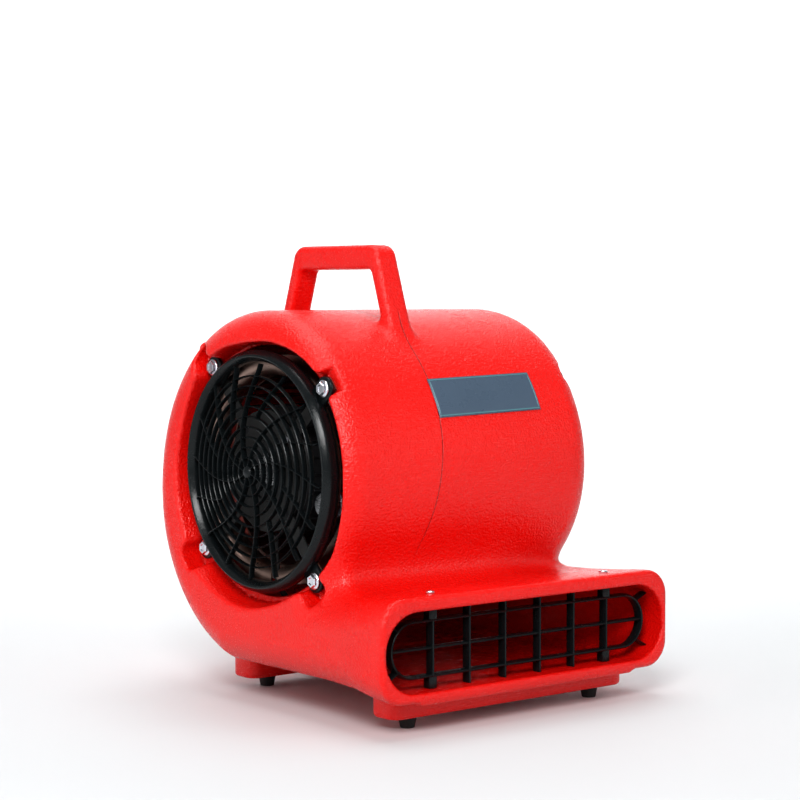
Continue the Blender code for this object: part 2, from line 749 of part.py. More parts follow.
# ---------------------------------------------------------------- motor
def make_motor(mats):
    """Air-cooled induction motor on the blower axis, held by four long studs."""
    centre = (0, AXIS_Y, AXIS_Z)
    front = PAD_NEAR_X - GAP - RING_SHEET
    seat = front
    bell_end, core_start, core_end, rear = -0.1240, -0.1237, -0.0640, -0.0280
    bore = SHAFT_RADIUS + 0.0100
    front_bell = turned(
        "motor_front_bell",
        [
            (seat, bore + GAP),
            (seat, 0.0560),
            (seat + 0.006, 0.0620),
            (bell_end, MOTOR_RADIUS),
            (bell_end, 0.0600),
            (seat + 0.009, 0.0550),
            (seat + 0.009, bore + GAP),
        ],
        20, mats["motor"], centre=centre, ring=True,
    )
    rear_bell = turned(
        "motor_rear_bell",
        [
            (rear, bore + GAP),
            (rear - 0.009, bore + GAP),
            (rear - 0.009, 0.0540),
            (core_end + GAP, 0.0600),
            (core_end + GAP, MOTOR_RADIUS),
            (rear - 0.008, 0.0620),
            (rear, 0.0540),
        ],
        20, mats["motor"], centre=centre, ring=True,
    )
    stator = turned(
        "stator_core",
        [(core_start, 0.0355), (core_end, 0.0355), (core_end, 0.0635), (core_start, 0.0635)],
        20, mats["steel"], centre=centre, ring=True,
    )
    rotor = turned(
        "rotor_core",
        [
            (core_start + 0.002, SHAFT_RADIUS + GAP),
            (core_end - 0.002, SHAFT_RADIUS + GAP),
            (core_end - 0.002, 0.0348),
            (core_start + 0.002, 0.0348),
        ],
        20, mats["steel"], centre=centre, ring=True,
    )
    for name, x0, x1 in (
        ("winding_front", core_start - GAP - 0.014, core_start - GAP),
        ("winding_rear", core_end + GAP, core_end + GAP + 0.014),
    ):
        turned(
            name,
            [(x0, 0.0390), (x1, 0.0375), (x1, 0.0490), (x0, 0.0470)],
            20, mats["copper"], centre=centre, ring=True,
        )
    shaft = turned(
        "motor_shaft",
        [(seat + 0.001, SHAFT_RADIUS), (DISC_X + 0.014, SHAFT_RADIUS)],
        16, mats["bright"], centre=centre,
    )
    for name, x0 in (("bearing_front", seat + 0.0005), ("bearing_rear", rear - 0.0085)):
        turned(
            name,
            [
                (x0, SHAFT_RADIUS + GAP),
                (x0 + 0.008, SHAFT_RADIUS + GAP),
                (x0 + 0.008, bore),
                (x0, bore),
            ],
            16, mats["bright"], centre=centre, ring=True,
        )
    bells = {"front": front_bell, "rear": rear_bell, "core": stator}
    for k, angle in enumerate(bolt_angles()):
        y, z = around_axis(0.0520, angle)
        head = front - GAP - SHEET - 0.0003
        stud = turned(
            f"motor_stud_{k + 1}",
            [(head - 0.004, 0.0042), (head, 0.0042)],
            6, mats["zinc"], centre=(0, y, z),
        )
        unite(stud, turned("rod", [(head - 0.001, 0.0022), (rear + 0.002, 0.0022)], 8, centre=(0, y, z)))
        for piece in bells.values():
            subtract(piece, turned("hole", [(-0.20, 0.0026), (0.0, 0.0026)], 8, centre=(0, y, z)))
    return shaft, rotor


# ---------------------------------------------------------------- blower wheel
def blade_section(angle):
    """Forward-curved blade outline in (y, z)."""
    thick = 0.0006
    outer = []
    inner = []
    for i in range(3):
        share = i / 2
        radius = WHEEL_EYE + (WHEEL_RADIUS - 0.0005 - WHEEL_EYE) * share
        lean = angle - 0.115 * math.sin(share * math.pi / 2) ** 2
        ray = Vector((math.cos(lean), math.sin(lean)))
        across = Vector((-ray.y, ray.x)) * thick
        outer.append(at_axis(*(ray * radius + across)))
        inner.append(at_axis(*(ray * radius - across)))
    return outer + inner[::-1]


def make_wheel(mat):
    """Squirrel-cage wheel: two end rings and a centre disc, joined by forward-curved blades."""
    centre = (0, AXIS_Y, AXIS_Z)

    def band(name, x0, x1, r0):
        return turned(
            name,
            [(x0, r0), (x1, r0), (x1, WHEEL_RADIUS + 0.0006), (x0, WHEEL_RADIUS + 0.0006)],
            BLADE_COUNT, mat, centre=centre, ring=True,
        )

    wheel = band("blower_wheel", DISC_X - 0.001, DISC_X + 0.001, 0.0125)
    bm = bmesh.new()
    for k in range(BLADE_COUNT):
        section = blade_section(2 * math.pi * k / BLADE_COUNT)
        ends = [[(x, *p) for p in section] for x in (WHEEL_NEAR_X + 0.001, WHEEL_FAR_X - 0.001)]
        skin_loops(bm, ends)
    blades = finish_mesh(bm, "blades", None)
    eye = WHEEL_EYE - 0.001
    unite(wheel, blades)
    unite(wheel, band("ring", WHEEL_NEAR_X, WHEEL_NEAR_X + 0.002, eye))
    unite(wheel, band("ring", WHEEL_FAR_X - 0.002, WHEEL_FAR_X, eye))
    return wheel


def make_wheel_hub(mats):
    """Cast hub with a flange against the centre disc, and its set screw."""
    centre = (0, AXIS_Y, AXIS_Z)
    back = DISC_X + 0.001 + GAP
    bore = SHAFT_RADIUS + GAP
    hub = turned(
        "wheel_hub",
        [
            (DISC_X - 0.020, bore),
            (back + 0.010, bore),
            (back + 0.010, 0.0120),
            (DISC_X - 0.0013, 0.0120),
            (DISC_X - 0.0013, 0.0240),
            (DISC_X - 0.0050, 0.0240),
            (DISC_X - 0.0050, 0.0120),
            (DISC_X - 0.020, 0.0120),
        ],
        20, mats["cast"], centre=centre, ring=True,
    )
    x = DISC_X - 0.012
    subtract(hub, turned("hole", [(AXIS_Z, 0.0023), (AXIS_Z + 0.02, 0.0023)], 8, axis="Z", centre=(x, AXIS_Y, 0)))
    screw = turned(
        "hub_set_screw",
        [(AXIS_Z + SHAFT_RADIUS + GAP, 0.0020), (AXIS_Z + 0.0128, 0.0020)],
        8, mats["bright"], axis="Z", centre=(x, AXIS_Y, 0),
    )
    return hub, screw


# ---------------------------------------------------------------- electrics
LEAD_ANGLE = math.radians(-95)
LEAD_RADIUS = 0.0030
CAPACITOR_ANGLE = math.radians(-158)
SWITCH_X = 0.050
SWITCH_Z = 0.250
SWITCH_HALF = 0.017


def smooth_route(points, spacing):
    """Points along a smooth curve through the given ones, at about even spacing."""
    points = [Vector(p) for p in points]
    ends = [2 * points[0] - points[1], *points, 2 * points[-1] - points[-2]]
    fine = []
    for a, b, c, d in zip(ends, ends[1:], ends[2:], ends[3:]):
        for i in range(12):
            t = i / 12
            fine.append(
                0.5 * (2 * b + (c - a) * t + (2 * a - 5 * b + 4 * c - d) * t * t
                       + (3 * b - a - 3 * c + d) * t ** 3)
            )
    fine.append(points[-1])
    kept = [fine[0]]
    for point in fine[1:]:
        if (point - kept[-1]).length >= spacing:
            kept.append(point)
    kept[-1] = fine[-1]
    return kept


def lead_route():
    """The motor lead: out through the notch in the inlet ring, then round inside the shell."""
    def polar(x, radius, degrees):
        return (x, *around_axis(radius, math.radians(degrees)))

    start = math.degrees(LEAD_ANGLE)
    x = PAD_NEAR_X + 0.0030
    return [
        polar(x, MOTOR_RADIUS + 0.0004, start),
        polar(x, 0.0800, start),
        polar(x, 0.1000, start),
        polar(x, 0.1130, start),
        polar(x + 0.004, 0.1215, start),
        polar(x + 0.014, 0.1330, start + 2),
        polar(x + 0.024, 0.1530, start + 8),
        polar(x + 0.040, 0.1680, start + 22),
        polar(x + 0.062, 0.1740, start + 42),
        polar(x + 0.094, 0.1705, start + 62),
        polar(x + 0.130, 0.1640, start + 74),
        polar(x + 0.168, 0.1580, start + 82),
        polar(SWITCH_X - 0.014, 0.1545, -20),
        polar(SWITCH_X - 0.002, 0.1515, -14.5),
        (SWITCH_X, *at_axis(0.1500, -0.0180)),
        (SWITCH_X, AXIS_Y + 0.1500, SWITCH_Z - SWITCH_HALF - GAP),
    ]


def make_motor_lead(mat):
    """Sheathed cable from the motor to the back of the speed switch, held in the housing all the way."""
    route = smooth_route(lead_route(), 0.0120)
    curve = bpy.data.curves.new("motor_lead", "CURVE")
    curve.dimensions = "3D"
    curve.bevel_depth = LEAD_RADIUS
    curve.bevel_resolution = 2
    curve.use_fill_caps = True
    spline = curve.splines.new("POLY")
    spline.points.add(len(route) - 1)
    for point, place in zip(spline.points, route):
        point.co = (*place, 1.0)
    curve.materials.append(mat)
    obj = bpy.data.objects.new("motor_lead", curve)
    bpy.context.scene.collection.objects.link(obj)
    return obj


def make_capacitor(mats):
    """Run capacitor on the motor's flank, in a sprung clip that is riveted to the motor."""
    radius = 0.0120
    middle = MOTOR_RADIUS + 0.0022 + radius
    y, z = around_axis(middle, CAPACITOR_ANGLE)
    x0, x1 = -0.1480, -0.1000
    turned(
        "capacitor",
        [(x0, radius - 0.0015), (x0 + 0.0015, radius), (x1 - 0.0015, radius), (x1, radius - 0.0015)],
        16, mats["can"], centre=(0, y, z),
    )
    start = math.degrees(CAPACITOR_ANGLE) + 180
    inner = arc((y, z), radius + GAP, start + 50, start + 310, 12)
    outer = arc((y, z), radius + GAP + 0.0012, start + 310, start + 50, 12)
    clip = prism("capacitor_clip", inner + outer, -0.131, -0.117, "X", mats["zinc"])
    saddle = []
    for radius_here, half in ((MOTOR_RADIUS + GAP, 0.012), (MOTOR_RADIUS + 0.0018, 0.012)):
        saddle.append((radius_here, half))
    low, high = saddle[0][0] + 0.0004, saddle[1][0]
    foot = radial_strip("clip_foot", -0.131, -0.117, low, high + 0.0001, 0.0105, CAPACITOR_ANGLE)
    arms = []
    for sign in (-1, 1):
        arms.append(clip_arm(sign, y, z, radius, start))
    unite(clip, foot, *arms)
    return clip


def clip_arm(sign, y, z, radius, start):
    """One side of the clip, from the band down to the saddle on the motor."""
    bend = math.radians(start + sign * 50)
    centre = Vector((y, z))
    band = centre + Vector((math.cos(bend), math.sin(bend))) * (radius + GAP + 0.0006)
    outward = Vector((math.cos(CAPACITOR_ANGLE), math.sin(CAPACITOR_ANGLE)))
    across = Vector((-outward.y, outward.x))
    side = 1 if (band - centre).dot(across) > 0 else -1
    root = Vector(at_axis(*(outward * (MOTOR_RADIUS + 0.0014)))) + across * side * 0.0098
    width = (root - band).normalized()
    normal = Vector((-width.y, width.x)) * 0.0006
    corners = [band - normal, root - normal, root + normal, band + normal]
    return prism("arm", [tuple(c) for c in corners], -0.131, -0.117, "X")


def make_controls(mats):
    """Rear panel with the three-speed switch, a breaker reset, a lamp and the cable gland."""
    seat = PANEL_SEAT_Y + AXIS_Y + GAP
    face = seat + PANEL_THICK
    lo = (PANEL_X - PANEL_WIDTH / 2, PANEL_Z - PANEL_HEIGHT / 2)
    hi = (PANEL_X + PANEL_WIDTH / 2, PANEL_Z + PANEL_HEIGHT / 2)
    panel = cushion_prism("control_panel", rounded_rect(lo, hi, 0.006, 3), seat, face, "Y", 0.0008, 1, mats["black"])
    knob_at = (SWITCH_X, SWITCH_Z)
    reset_at = (0.0110, 0.2620)
    lamp_at = (-0.0050, 0.2620)
    gland_at = (0.0020, 0.2300)

    def hole(place, radius):
        return turned("hole", [(seat - 0.01, radius), (face + 0.01, radius)], 16, axis="Y", centre=(place[0], 0, place[1]))

    holes = [hole(knob_at, 0.0045), hole(reset_at, 0.0052), hole(lamp_at, 0.0042), hole(gland_at, 0.0082)]
    holes += [hole(place, 0.0020) for place in panel_screw_places()]
    subtract(panel, *holes)

    x, z = knob_at
    box = rounded_rect((x - SWITCH_HALF, z - SWITCH_HALF), (x + SWITCH_HALF, z + SWITCH_HALF), 0.002, 1)
    body = prism("speed_switch_body", box, seat - GAP - 0.0240, seat - GAP, "Y", mats["black"])
    unite(body, turned("neck", [(seat - 0.002, 0.0040), (face - 0.0002, 0.0040)], 12, axis="Y", centre=(x, 0, z)))
    knob_back, knob_tip = face + 0.0005, REAR_REACH + AXIS_Y
    knob = turned(
        "speed_knob",
        [
            (knob_back, 0.0155),
            (knob_back + 0.0040, 0.0155),
            (knob_back + 0.0050, 0.0145),
            (knob_back + 0.0130, 0.0130),
            (knob_tip - 0.0080, 0.0120),
        ],
        24, mats["black"], axis="Y", centre=(0, 0, 0),
    )
    grip = prism("grip", rounded_rect((-0.0035, -0.0145), (0.0035, 0.0145), 0.003, 2), knob_back + 0.002, knob_tip, "Y")
    unite(knob, grip)
    knob.location = (x, 0, z)

    x, z = reset_at
    breaker = turned(
        "breaker_body",
        [(seat - GAP - 0.020, 0.0080), (seat - GAP, 0.0080)],
        16, mats["black"], axis="Y", centre=(x, 0, z),
    )
    collar = turned("collar", [(seat - 0.002, 0.0048), (face + 0.0030, 0.0048)], 16, axis="Y", centre=(x, 0, z))
    unite(breaker, collar)
    well = turned("well", [(seat - 0.006, 0.0034), (face + 0.01, 0.0034)], 12, axis="Y", centre=(x, 0, z))
    subtract(breaker, well)
    button = turned(
        "reset_button",
        [(face - 0.0030, 0.0030), (face + 0.0050, 0.0030), (face + 0.0055, 0.0024)],
        12, mats["red_button"], axis="Y", centre=(0, 0, 0),
    )
    button.location = (x, 0, z)

    x, z = lamp_at
    lamp = turned(
        "pilot_lamp",
        [
            (seat - 0.012, 0.0038),
            (face + GAP, 0.0038),
            (face + GAP, 0.0056),
            (face + 0.0016, 0.0056),
            (face + 0.0034, 0.0030),
        ],
        14, mats["lamp"], axis="Y", centre=(x, 0, z),
    )

    x, z = gland_at
    gland = turned(
        "cable_gland",
        [
            (seat - 0.0090, 0.0078),
            (face + GAP, 0.0078),
            (face + GAP, 0.0120),
            (face + 0.0060, 0.0120),
            (face + 0.0075, 0.0100),
            (face + 0.0160, 0.0085),
            (face + 0.0160, 0.0045),
            (seat - 0.0090, 0.0045),
        ],
        16, mats["black"], axis="Y", centre=(x, 0, z), ring=True,
    )
    nut = turned(
        "gland_nut",
        [
            (seat - WALL - GAP - 0.0040, 0.0095),
            (seat - WALL - GAP, 0.0095),
            (seat - WALL - GAP, 0.0125),
            (seat - WALL - GAP - 0.0040, 0.0125),
        ],
        6, mats["black"], axis="Y", centre=(x, 0, z), ring=True,
    )
    for k, (x, z) in enumerate(panel_screw_places()):
        screw = turned(
            f"panel_screw_{k + 1}",
            [(face + GAP, 0.0034), (face + 0.0010, 0.0034), (face + 0.0020, 0.0020)],
            8, mats["zinc"], axis="Y", centre=(x, 0, z),
        )
        unite(screw, turned("shank", [(seat - 0.0080, 0.0014), (face + 0.0006, 0.0014)], 8, axis="Y", centre=(x, 0, z)))
    return knob, button, lamp, gland, nut


# ---------------------------------------------------------------- feet and plate
def make_foot(name, x, y, mat):
    """Tapered rubber foot with a counterbore for its screw."""
    top = RAIL_BOTTOM_Z - GAP
    profile = [
        (0.0, 0.0048),
        (0.0, 0.0066),
        (0.0010, 0.0072),
        (top - 0.0010, 0.0094),
        (top, 0.0090),
        (top, 0.0024),
        (0.0052, 0.0024),
        (0.0052, 0.0048),
    ]
    return turned(name, profile[::-1], 12, mat, axis="Z", centre=(x, y, 0), ring=True)


def make_foot_screw(name, x, y, mat):
    head = [(0.0025, 0.0034), (0.0049, 0.0042)]
    screw = turned(name, head, 10, mat, axis="Z", centre=(x, y, 0))
    return unite(screw, turned("shank", [(0.0045, 0.0019), (0.0260, 0.0019)], 6, axis="Z", centre=(x, y, 0)))


def make_label_plate(mat):
    """Blank curved plate on the front of the drum, set slightly askew."""
    middle_x, middle_turn = 0.0162, 30.4
    half_long, half_high = 0.0682, 0.0210
    askew = math.radians(1.6)
    steps = 5
    loops = []
    for share in (-1, 1):
        outline = []
        for add, order in ((GAP, 1), (0.0015, -1)):
            stretch = []
            for i in range(steps + 1):
                along = half_long * share
                climb = half_high * (2 * i / steps - 1)
                x = middle_x + along * math.cos(askew) - climb * math.sin(askew)
                rise = along * math.sin(askew) + climb * math.cos(askew)
                turn = middle_turn + math.degrees(rise / volute_radius(middle_turn))
                here = volute_radius(turn) + add
                t = math.radians(turn)
                stretch.append((x, *at_axis(-here * math.cos(t), here * math.sin(t))))
            outline += stretch[::order]
        loops.append(outline)
    return lofted("label_plate", loops, mat)


# ---------------------------------------------------------------- assembly
def main():
    clear_scene()
    mats = {
        "red": material("moulded_red", (0.72, 0.02, 0.015), 0.42),
        "guard": material("guard_black", (0.02, 0.022, 0.024), 0.40),
        "zinc": material("zinc_plate", (0.72, 0.73, 0.75), 0.28, 1.0),
        "sheet": material("galvanised_sheet", (0.62, 0.60, 0.57), 0.40, 1.0),
        "bracket": material("bracket_black", (0.03, 0.03, 0.03), 0.50),
        "motor": material("motor_black", (0.035, 0.036, 0.038), 0.50),
        "steel": material("lamination_steel", (0.32, 0.33, 0.36), 0.45, 1.0),
        "bright": material("bright_steel", (0.66, 0.66, 0.67), 0.25, 1.0),
        "copper": material("winding_copper", (0.70, 0.30, 0.12), 0.35, 0.9),
        "cast": material("cast_hub", (0.50, 0.50, 0.51), 0.50, 1.0),
        "can": material("capacitor_can", (0.70, 0.71, 0.72), 0.30, 1.0),
        "black": material("control_black", (0.018, 0.018, 0.020), 0.38),
        "cable": material("cable_black", (0.015, 0.015, 0.016), 0.45),
        "red_button": material("button_red", (0.60, 0.03, 0.02), 0.35),
        "lamp": material("lamp_amber", (0.85, 0.30, 0.04), 0.15),
        "rubber": material("foot_rubber", (0.016, 0.016, 0.017), 0.70),
        "plate": material("plate_blue_grey", (0.085, 0.125, 0.165), 0.35),
    }
    make_housing(mats["red"])
    make_inlet_grille("inlet_grille_near", PAD_NEAR_X, mats["guard"])
    make_inlet_grille("inlet_grille_far", PAD_FAR_X, mats["guard"])
    make_inlet_ring("inlet_ring_near", PAD_NEAR_X, mats["sheet"], LEAD_ANGLE)
    make_inlet_ring("inlet_ring_far", PAD_FAR_X, mats["sheet"])
    make_motor_bracket(mats["bracket"])
    for k, angle in enumerate(bolt_angles()):
        make_flange_bolt(f"near_bolt_{k + 1}", -1, angle, mats["zinc"])
        make_flange_bolt(f"far_bolt_{k + 1}", 1, angle, mats["zinc"])
    make_outlet_grille(mats["guard"])
    for k, (x, y) in enumerate(outlet_screw_places()):
        make_outlet_screw(f"outlet_screw_top_{k + 1}", x, y, True, mats["zinc"])
        make_outlet_screw(f"outlet_screw_under_{k + 1}", x, y, False, mats["zinc"])
    for k, (x, y) in enumerate(foot_places()):
        make_foot(f"foot_{k + 1}", x, y, mats["rubber"])
        make_foot_screw(f"foot_screw_{k + 1}", x, y, mats["zinc"])
    shaft, rotor = make_motor(mats)
    wheel = make_wheel(mats["sheet"])
    hub, screw = make_wheel_hub(mats)
    spin = bpy.data.objects.new("wheel_spin_axis", None)
    spin.location = (0, AXIS_Y, AXIS_Z)
    bpy.context.scene.collection.objects.link(spin)
    bpy.context.view_layer.update()
    for piece in (shaft, rotor, wheel, hub, screw):
        piece.parent = spin
        piece.matrix_parent_inverse = Matrix.Translation(spin.location).inverted()
    make_capacitor(mats)
    make_motor_lead(mats["cable"])
    make_controls(mats)
    make_label_plate(mats["plate"])


main()
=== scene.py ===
import json
import math

import bmesh
import bpy
import numpy as np
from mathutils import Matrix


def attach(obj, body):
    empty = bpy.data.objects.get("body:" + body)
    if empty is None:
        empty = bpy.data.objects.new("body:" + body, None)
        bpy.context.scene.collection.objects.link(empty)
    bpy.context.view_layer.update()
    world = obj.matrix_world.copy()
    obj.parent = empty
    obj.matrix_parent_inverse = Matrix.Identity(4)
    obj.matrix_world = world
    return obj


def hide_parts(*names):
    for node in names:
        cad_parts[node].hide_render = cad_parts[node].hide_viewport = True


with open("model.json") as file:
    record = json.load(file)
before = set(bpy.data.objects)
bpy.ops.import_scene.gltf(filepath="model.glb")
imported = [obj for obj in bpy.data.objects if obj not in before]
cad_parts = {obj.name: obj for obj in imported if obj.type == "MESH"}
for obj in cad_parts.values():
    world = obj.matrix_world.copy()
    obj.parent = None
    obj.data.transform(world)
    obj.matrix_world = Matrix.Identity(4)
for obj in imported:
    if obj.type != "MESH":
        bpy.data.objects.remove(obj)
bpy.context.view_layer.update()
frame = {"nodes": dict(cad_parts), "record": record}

import openvdb
from mathutils import Vector

# ---------------------------------------------------------------- dimensions, in metres
AXIS_Y = 0.012
AXIS_Z = 0.237
GAP = 0.0003
WALL = 0.005
NEAR_X = -0.182
FAR_X = 0.158
RIM = 0.036
FLOOR_Z = 0.037
VOLUTE_STEP = 30.0
VOLUTE_RADII = np.array((0.150, 0.151, 0.157, 0.161, 0.167, 0.1735, 0.1835, 0.198, 0.2075, 0.209))
MIDDLE_X = -0.050
LIP_Y = -0.220
OUTLET_GUARD_Y = -0.201 + AXIS_Y
THROAT_BLEND = 0.050
HANDLE_X = -0.050
HANDLE_HALF = 0.014
HANDLE_TOP = 0.4645
HANDLE_GRIP = 0.025
HANDLE_LEG = 0.016
HANDLE_LEAN = math.radians(18.4)
RAIL_Z = 0.012
RAILS = ((-0.174, 0.154, 0.121), (0.087, 0.133, 0.099))
RECESS_DEPTH = 0.0244
PAD_NEAR_X = NEAR_X + RECESS_DEPTH
PAD_FAR_X = FAR_X - RECESS_DEPTH
PAD_RADIUS = 0.1285
INLET_RADIUS = 0.1265
BOLT_CIRCLE = 0.1335
BOLT_ANGLES = [math.radians(49.6 + 90 * k) for k in range(4)]
TROUGH_HALF = 0.0130  # the trough that runs out from the dish at each bolt
TROUGH_NEAR = 0.158
TROUGH_FAR = 0.1475
GUARD_DEPTH = 0.017
GUARD_RINGS = 9
GUARD_FIRST = 0.0145
GUARD_PITCH = 0.0102
GUARD_RIBS = 16
GUARD_SWEEP = math.radians(40)
PANEL_X, PANEL_Z = 0.030, 0.245
PANEL_HALF_X, PANEL_HALF_Z = 0.054, 0.038
PANEL_SEAT = 0.166
PANEL_BACK = PANEL_SEAT + AXIS_Y + GAP
PANEL_FACE = PANEL_BACK + 0.0025
RING_SHEET = 0.0015
SHEET = 0.002
EAR_THICK = 0.004
GUARD_OUT = 0.1225
GUARD_IN = 0.1065
WHEEL_RADIUS = 0.1165
WHEEL_EYE = 0.0985
BLADES = 48
WHEEL_NEAR_X, WHEEL_FAR_X, DISC_X = -0.135, 0.112, -0.004
SWITCH_AT = (0.050, 0.250)
RESET_AT = (0.011, 0.262)
LAMP_AT = (-0.005, 0.262)
GLAND_AT = (0.002, 0.230)
CAMERA_AT = (-1.3874, -1.7149 + AXIS_Y, 0.4168)
CAMERA_YAW, CAMERA_PITCH = math.radians(-39.214), math.radians(2.951)
CAMERA_LENS = 94.5
BACKDROP_NEAR, BACKDROP_BEND, BACKDROP_TOP = -6.0, 1.2, 5.0
BACKDROP_FLAT = 2.2


# ---------------------------------------------------------------- field tools
def blend_min(a, b, k):
    """Union of two fields with a soft hollow between them."""
    h = np.clip(0.5 + 0.5 * (b - a) / k, 0.0, 1.0)
    return b + (a - b) * h - k * h * (1.0 - h)


def round_max(a, b, r):
    """Intersection of two fields with an edge of radius r."""
    return np.minimum(-r, np.maximum(a, b)) + np.hypot(np.maximum(a + r, 0.0), np.maximum(b + r, 0.0))


def smooth_step(t):
    """0 below 0, 1 above 1 and smooth between."""
    t = np.clip(t, 0.0, 1.0)
    return t * t * (3.0 - 2.0 * t)


def eased(stations, width=0.016):
    """A function through (place, value) stations with its corners eased over a width."""
    places = np.array([s[0] for s in stations])
    values = np.array([s[1] for s in stations])
    step = 0.0005
    fine = np.arange(places[0] - width, places[-1] + width, step)
    half = int(width / step / 2)
    window = np.hanning(2 * half + 3)[1:-1]
    padded = np.pad(np.interp(fine, places, values), half, mode="edge")
    table = np.convolve(padded, window / window.sum(), mode="valid")
    return lambda y: np.interp(y, fine, table)


DUCT_TOP = eased((
    (-0.220, 0.132), (-0.205, 0.132), (-0.185, 0.1300), (-0.150, 0.1275), (-0.100, 0.1265), (0.03, 0.1265),
))
DUCT_LOW = eased((
    (-0.220, 0.032), (-0.205, 0.032), (-0.185, 0.033), (-0.150, 0.036), (-0.100, FLOOR_Z), (0.03, FLOOR_Z),
))
DUCT_NEAR = eased((
    (-0.220, -0.1889), (-0.205, -0.1889), (-0.185, -0.1885), (-0.150, -0.186), (-0.100, -0.183),
    (-0.04, NEAR_X), (0.03, NEAR_X),
))
DUCT_FAR = eased((
    (-0.220, 0.1889), (-0.185, 0.1889), (-0.150, 0.186), (-0.100, 0.174), (-0.040, 0.159), (0.03, 0.1565),
))
DUCT_ROUND = eased((
    (-0.220, 0.027), (-0.205, 0.028), (-0.185, 0.030), (-0.150, 0.034), (-0.100, RIM), (0.03, RIM),
))
BORE_TOP = eased(((-0.230, 0.118), (-0.185, 0.118), (-0.150, 0.1205), (0.0, 0.1205)))
BORE_LOW = eased(((-0.230, 0.041), (-0.185, 0.041), (-0.150, 0.042), (0.0, 0.042)))
BORE_NEAR = eased(((-0.230, -0.183), (-0.185, -0.183), (-0.150, -0.180), (-0.100, -0.1775), (0.0, -0.1765)))
BORE_FAR = eased((
    (-0.230, 0.183), (-0.185, 0.183), (-0.150, 0.180), (-0.100, 0.168), (-0.040, 0.153), (0.0, 0.152),
))
BORE_ROUND = eased((
    (-0.230, 0.0375), (-0.185, 0.0375), (-0.150, 0.036), (-0.100, 0.034), (-0.040, 0.030), (0.0, 0.030),
))
DISH_MOUTH = (
    (-180.0, 0.1405), (-164.0, 0.1415), (-146.0, 0.1430), (-116.0, 0.1346), (-101.0, 0.1345), (-87.0, 0.1380),
    (-72.0, 0.1414), (-57.0, 0.1440), (-45.0, 0.1480), (-30.0, 0.1400), (-14.0, 0.1370), (0.0, 0.1340),
    (15.0, 0.1300), (35.0, 0.1310), (47.0, 0.1380), (58.0, 0.1350), (79.0, 0.1290), (91.0, 0.1295),
    (99.0, 0.1325), (111.0, 0.1365), (124.0, 0.1410), (133.0, 0.1425), (150.0, 0.1410), (180.0, 0.1405),
)  # degrees from the rear towards the top, and the radius where the dish meets the flat side


def dish_table():
    """Mouth radius of the dish by angle, its corners eased."""
    turns = np.radians(np.arange(-180.0, 181.0))
    angles, radii = zip(*DISH_MOUTH)
    values = np.interp(turns, np.radians(angles), radii)[:-1]
    window = np.hanning(13)[1:-1]
    wrapped = np.concatenate((values[-5:], values, values[:5]))
    eased_values = np.convolve(wrapped, window / window.sum(), mode="valid")
    return lambda angle: np.interp(angle, turns, np.append(eased_values, eased_values[0]))


DISH_TABLE = dish_table()


def volute_radius(turn):
    """Drum radius at a turn in degrees from the front, over the top and the rear, to the bottom."""
    place = np.clip(turn, 0.0, 269.9) / VOLUTE_STEP
    k = place.astype(int) if isinstance(place, np.ndarray) else int(place)
    t = place - k
    last = len(VOLUTE_RADII) - 1
    a, b, c, d = (VOLUTE_RADII[np.clip(k + i, 0, last)] for i in (-1, 0, 1, 2))
    return 0.5 * (2 * b + (c - a) * t + (2 * a - 5 * b + 4 * c - d) * t * t + (3 * b - a - 3 * c + d) * t**3)


def drum_section(y, z):
    """Field of the volute outline, open underneath."""
    up = z - AXIS_Z
    turn = np.degrees(np.arctan2(up, -y))
    fall = VOLUTE_RADII[-1] - VOLUTE_RADII[0]
    step = fall * smooth_step((-50.0 - turn) / 30.0) * (turn > -90.0)
    turn = np.where(turn < -90.0, turn + 360.0, turn)
    return np.hypot(y, up) - volute_radius(turn) - step


def handle_field(x, y, z):
    """The trapezoid carrying handle on top of the drum."""
    slope, across = math.tan(HANDLE_LEAN), math.cos(HANDLE_LEAN)
    front = (-0.0515 - slope * (HANDLE_TOP - z) - y) * across
    rear = (y - 0.0840 - slope * (HANDLE_TOP - z)) * across
    outside = round_max(round_max(z - HANDLE_TOP, front, 0.011), rear, 0.011)
    under = z - (HANDLE_TOP - HANDLE_GRIP)
    inside = round_max(round_max(under, front + HANDLE_LEG, 0.005), rear + HANDLE_LEG, 0.005)
    frame_2d = np.maximum(outside, -inside)
    frame_2d = np.maximum(frame_2d, AXIS_Z + 0.100 - z)
    return round_max(frame_2d, np.abs(x - HANDLE_X) - HANDLE_HALF, 0.0058)


def dish_field(x, y, z, side_x, pad_x, reach):
    """The dished recess round an inlet, negative inside it."""
    up = z - AXIS_Z
    share = np.clip((x - pad_x) / (side_x - pad_x), -0.3, 1.4)
    mouth = DISH_TABLE(np.arctan2(up, y)) - PAD_RADIUS
    field = np.hypot(y, up) - (PAD_RADIUS + mouth * (0.50 + 0.50 * share))
    for angle in BOLT_ANGLES:
        along = y * math.cos(angle) + up * math.sin(angle)
        beside = np.abs(up * math.cos(angle) - y * math.sin(angle))
        trough = round_max(beside - TROUGH_HALF - 0.0015 * share, along - reach, 0.010)
        field = blend_min(field, np.maximum(trough, 0.06 - along), 0.0060)
    return field


def nub_field(x, y, z, at_x):
    """A moulded nub for winding the cord, standing out of the upper rear."""
    angle = math.radians(40.5)
    along = y * math.cos(angle) + (z - AXIS_Z) * math.sin(angle)
    side = -y * math.sin(angle) + (z - AXIS_Z) * math.cos(angle)
    off = np.hypot(x - at_x, side)
    stem = round_max(off - 0.0060, along - 0.1885, 0.002)
    head = round_max(off - 0.0076, np.abs(along - 0.1850) - 0.0038, 0.0028)
    return np.maximum(np.minimum(stem, head), 0.150 - along)


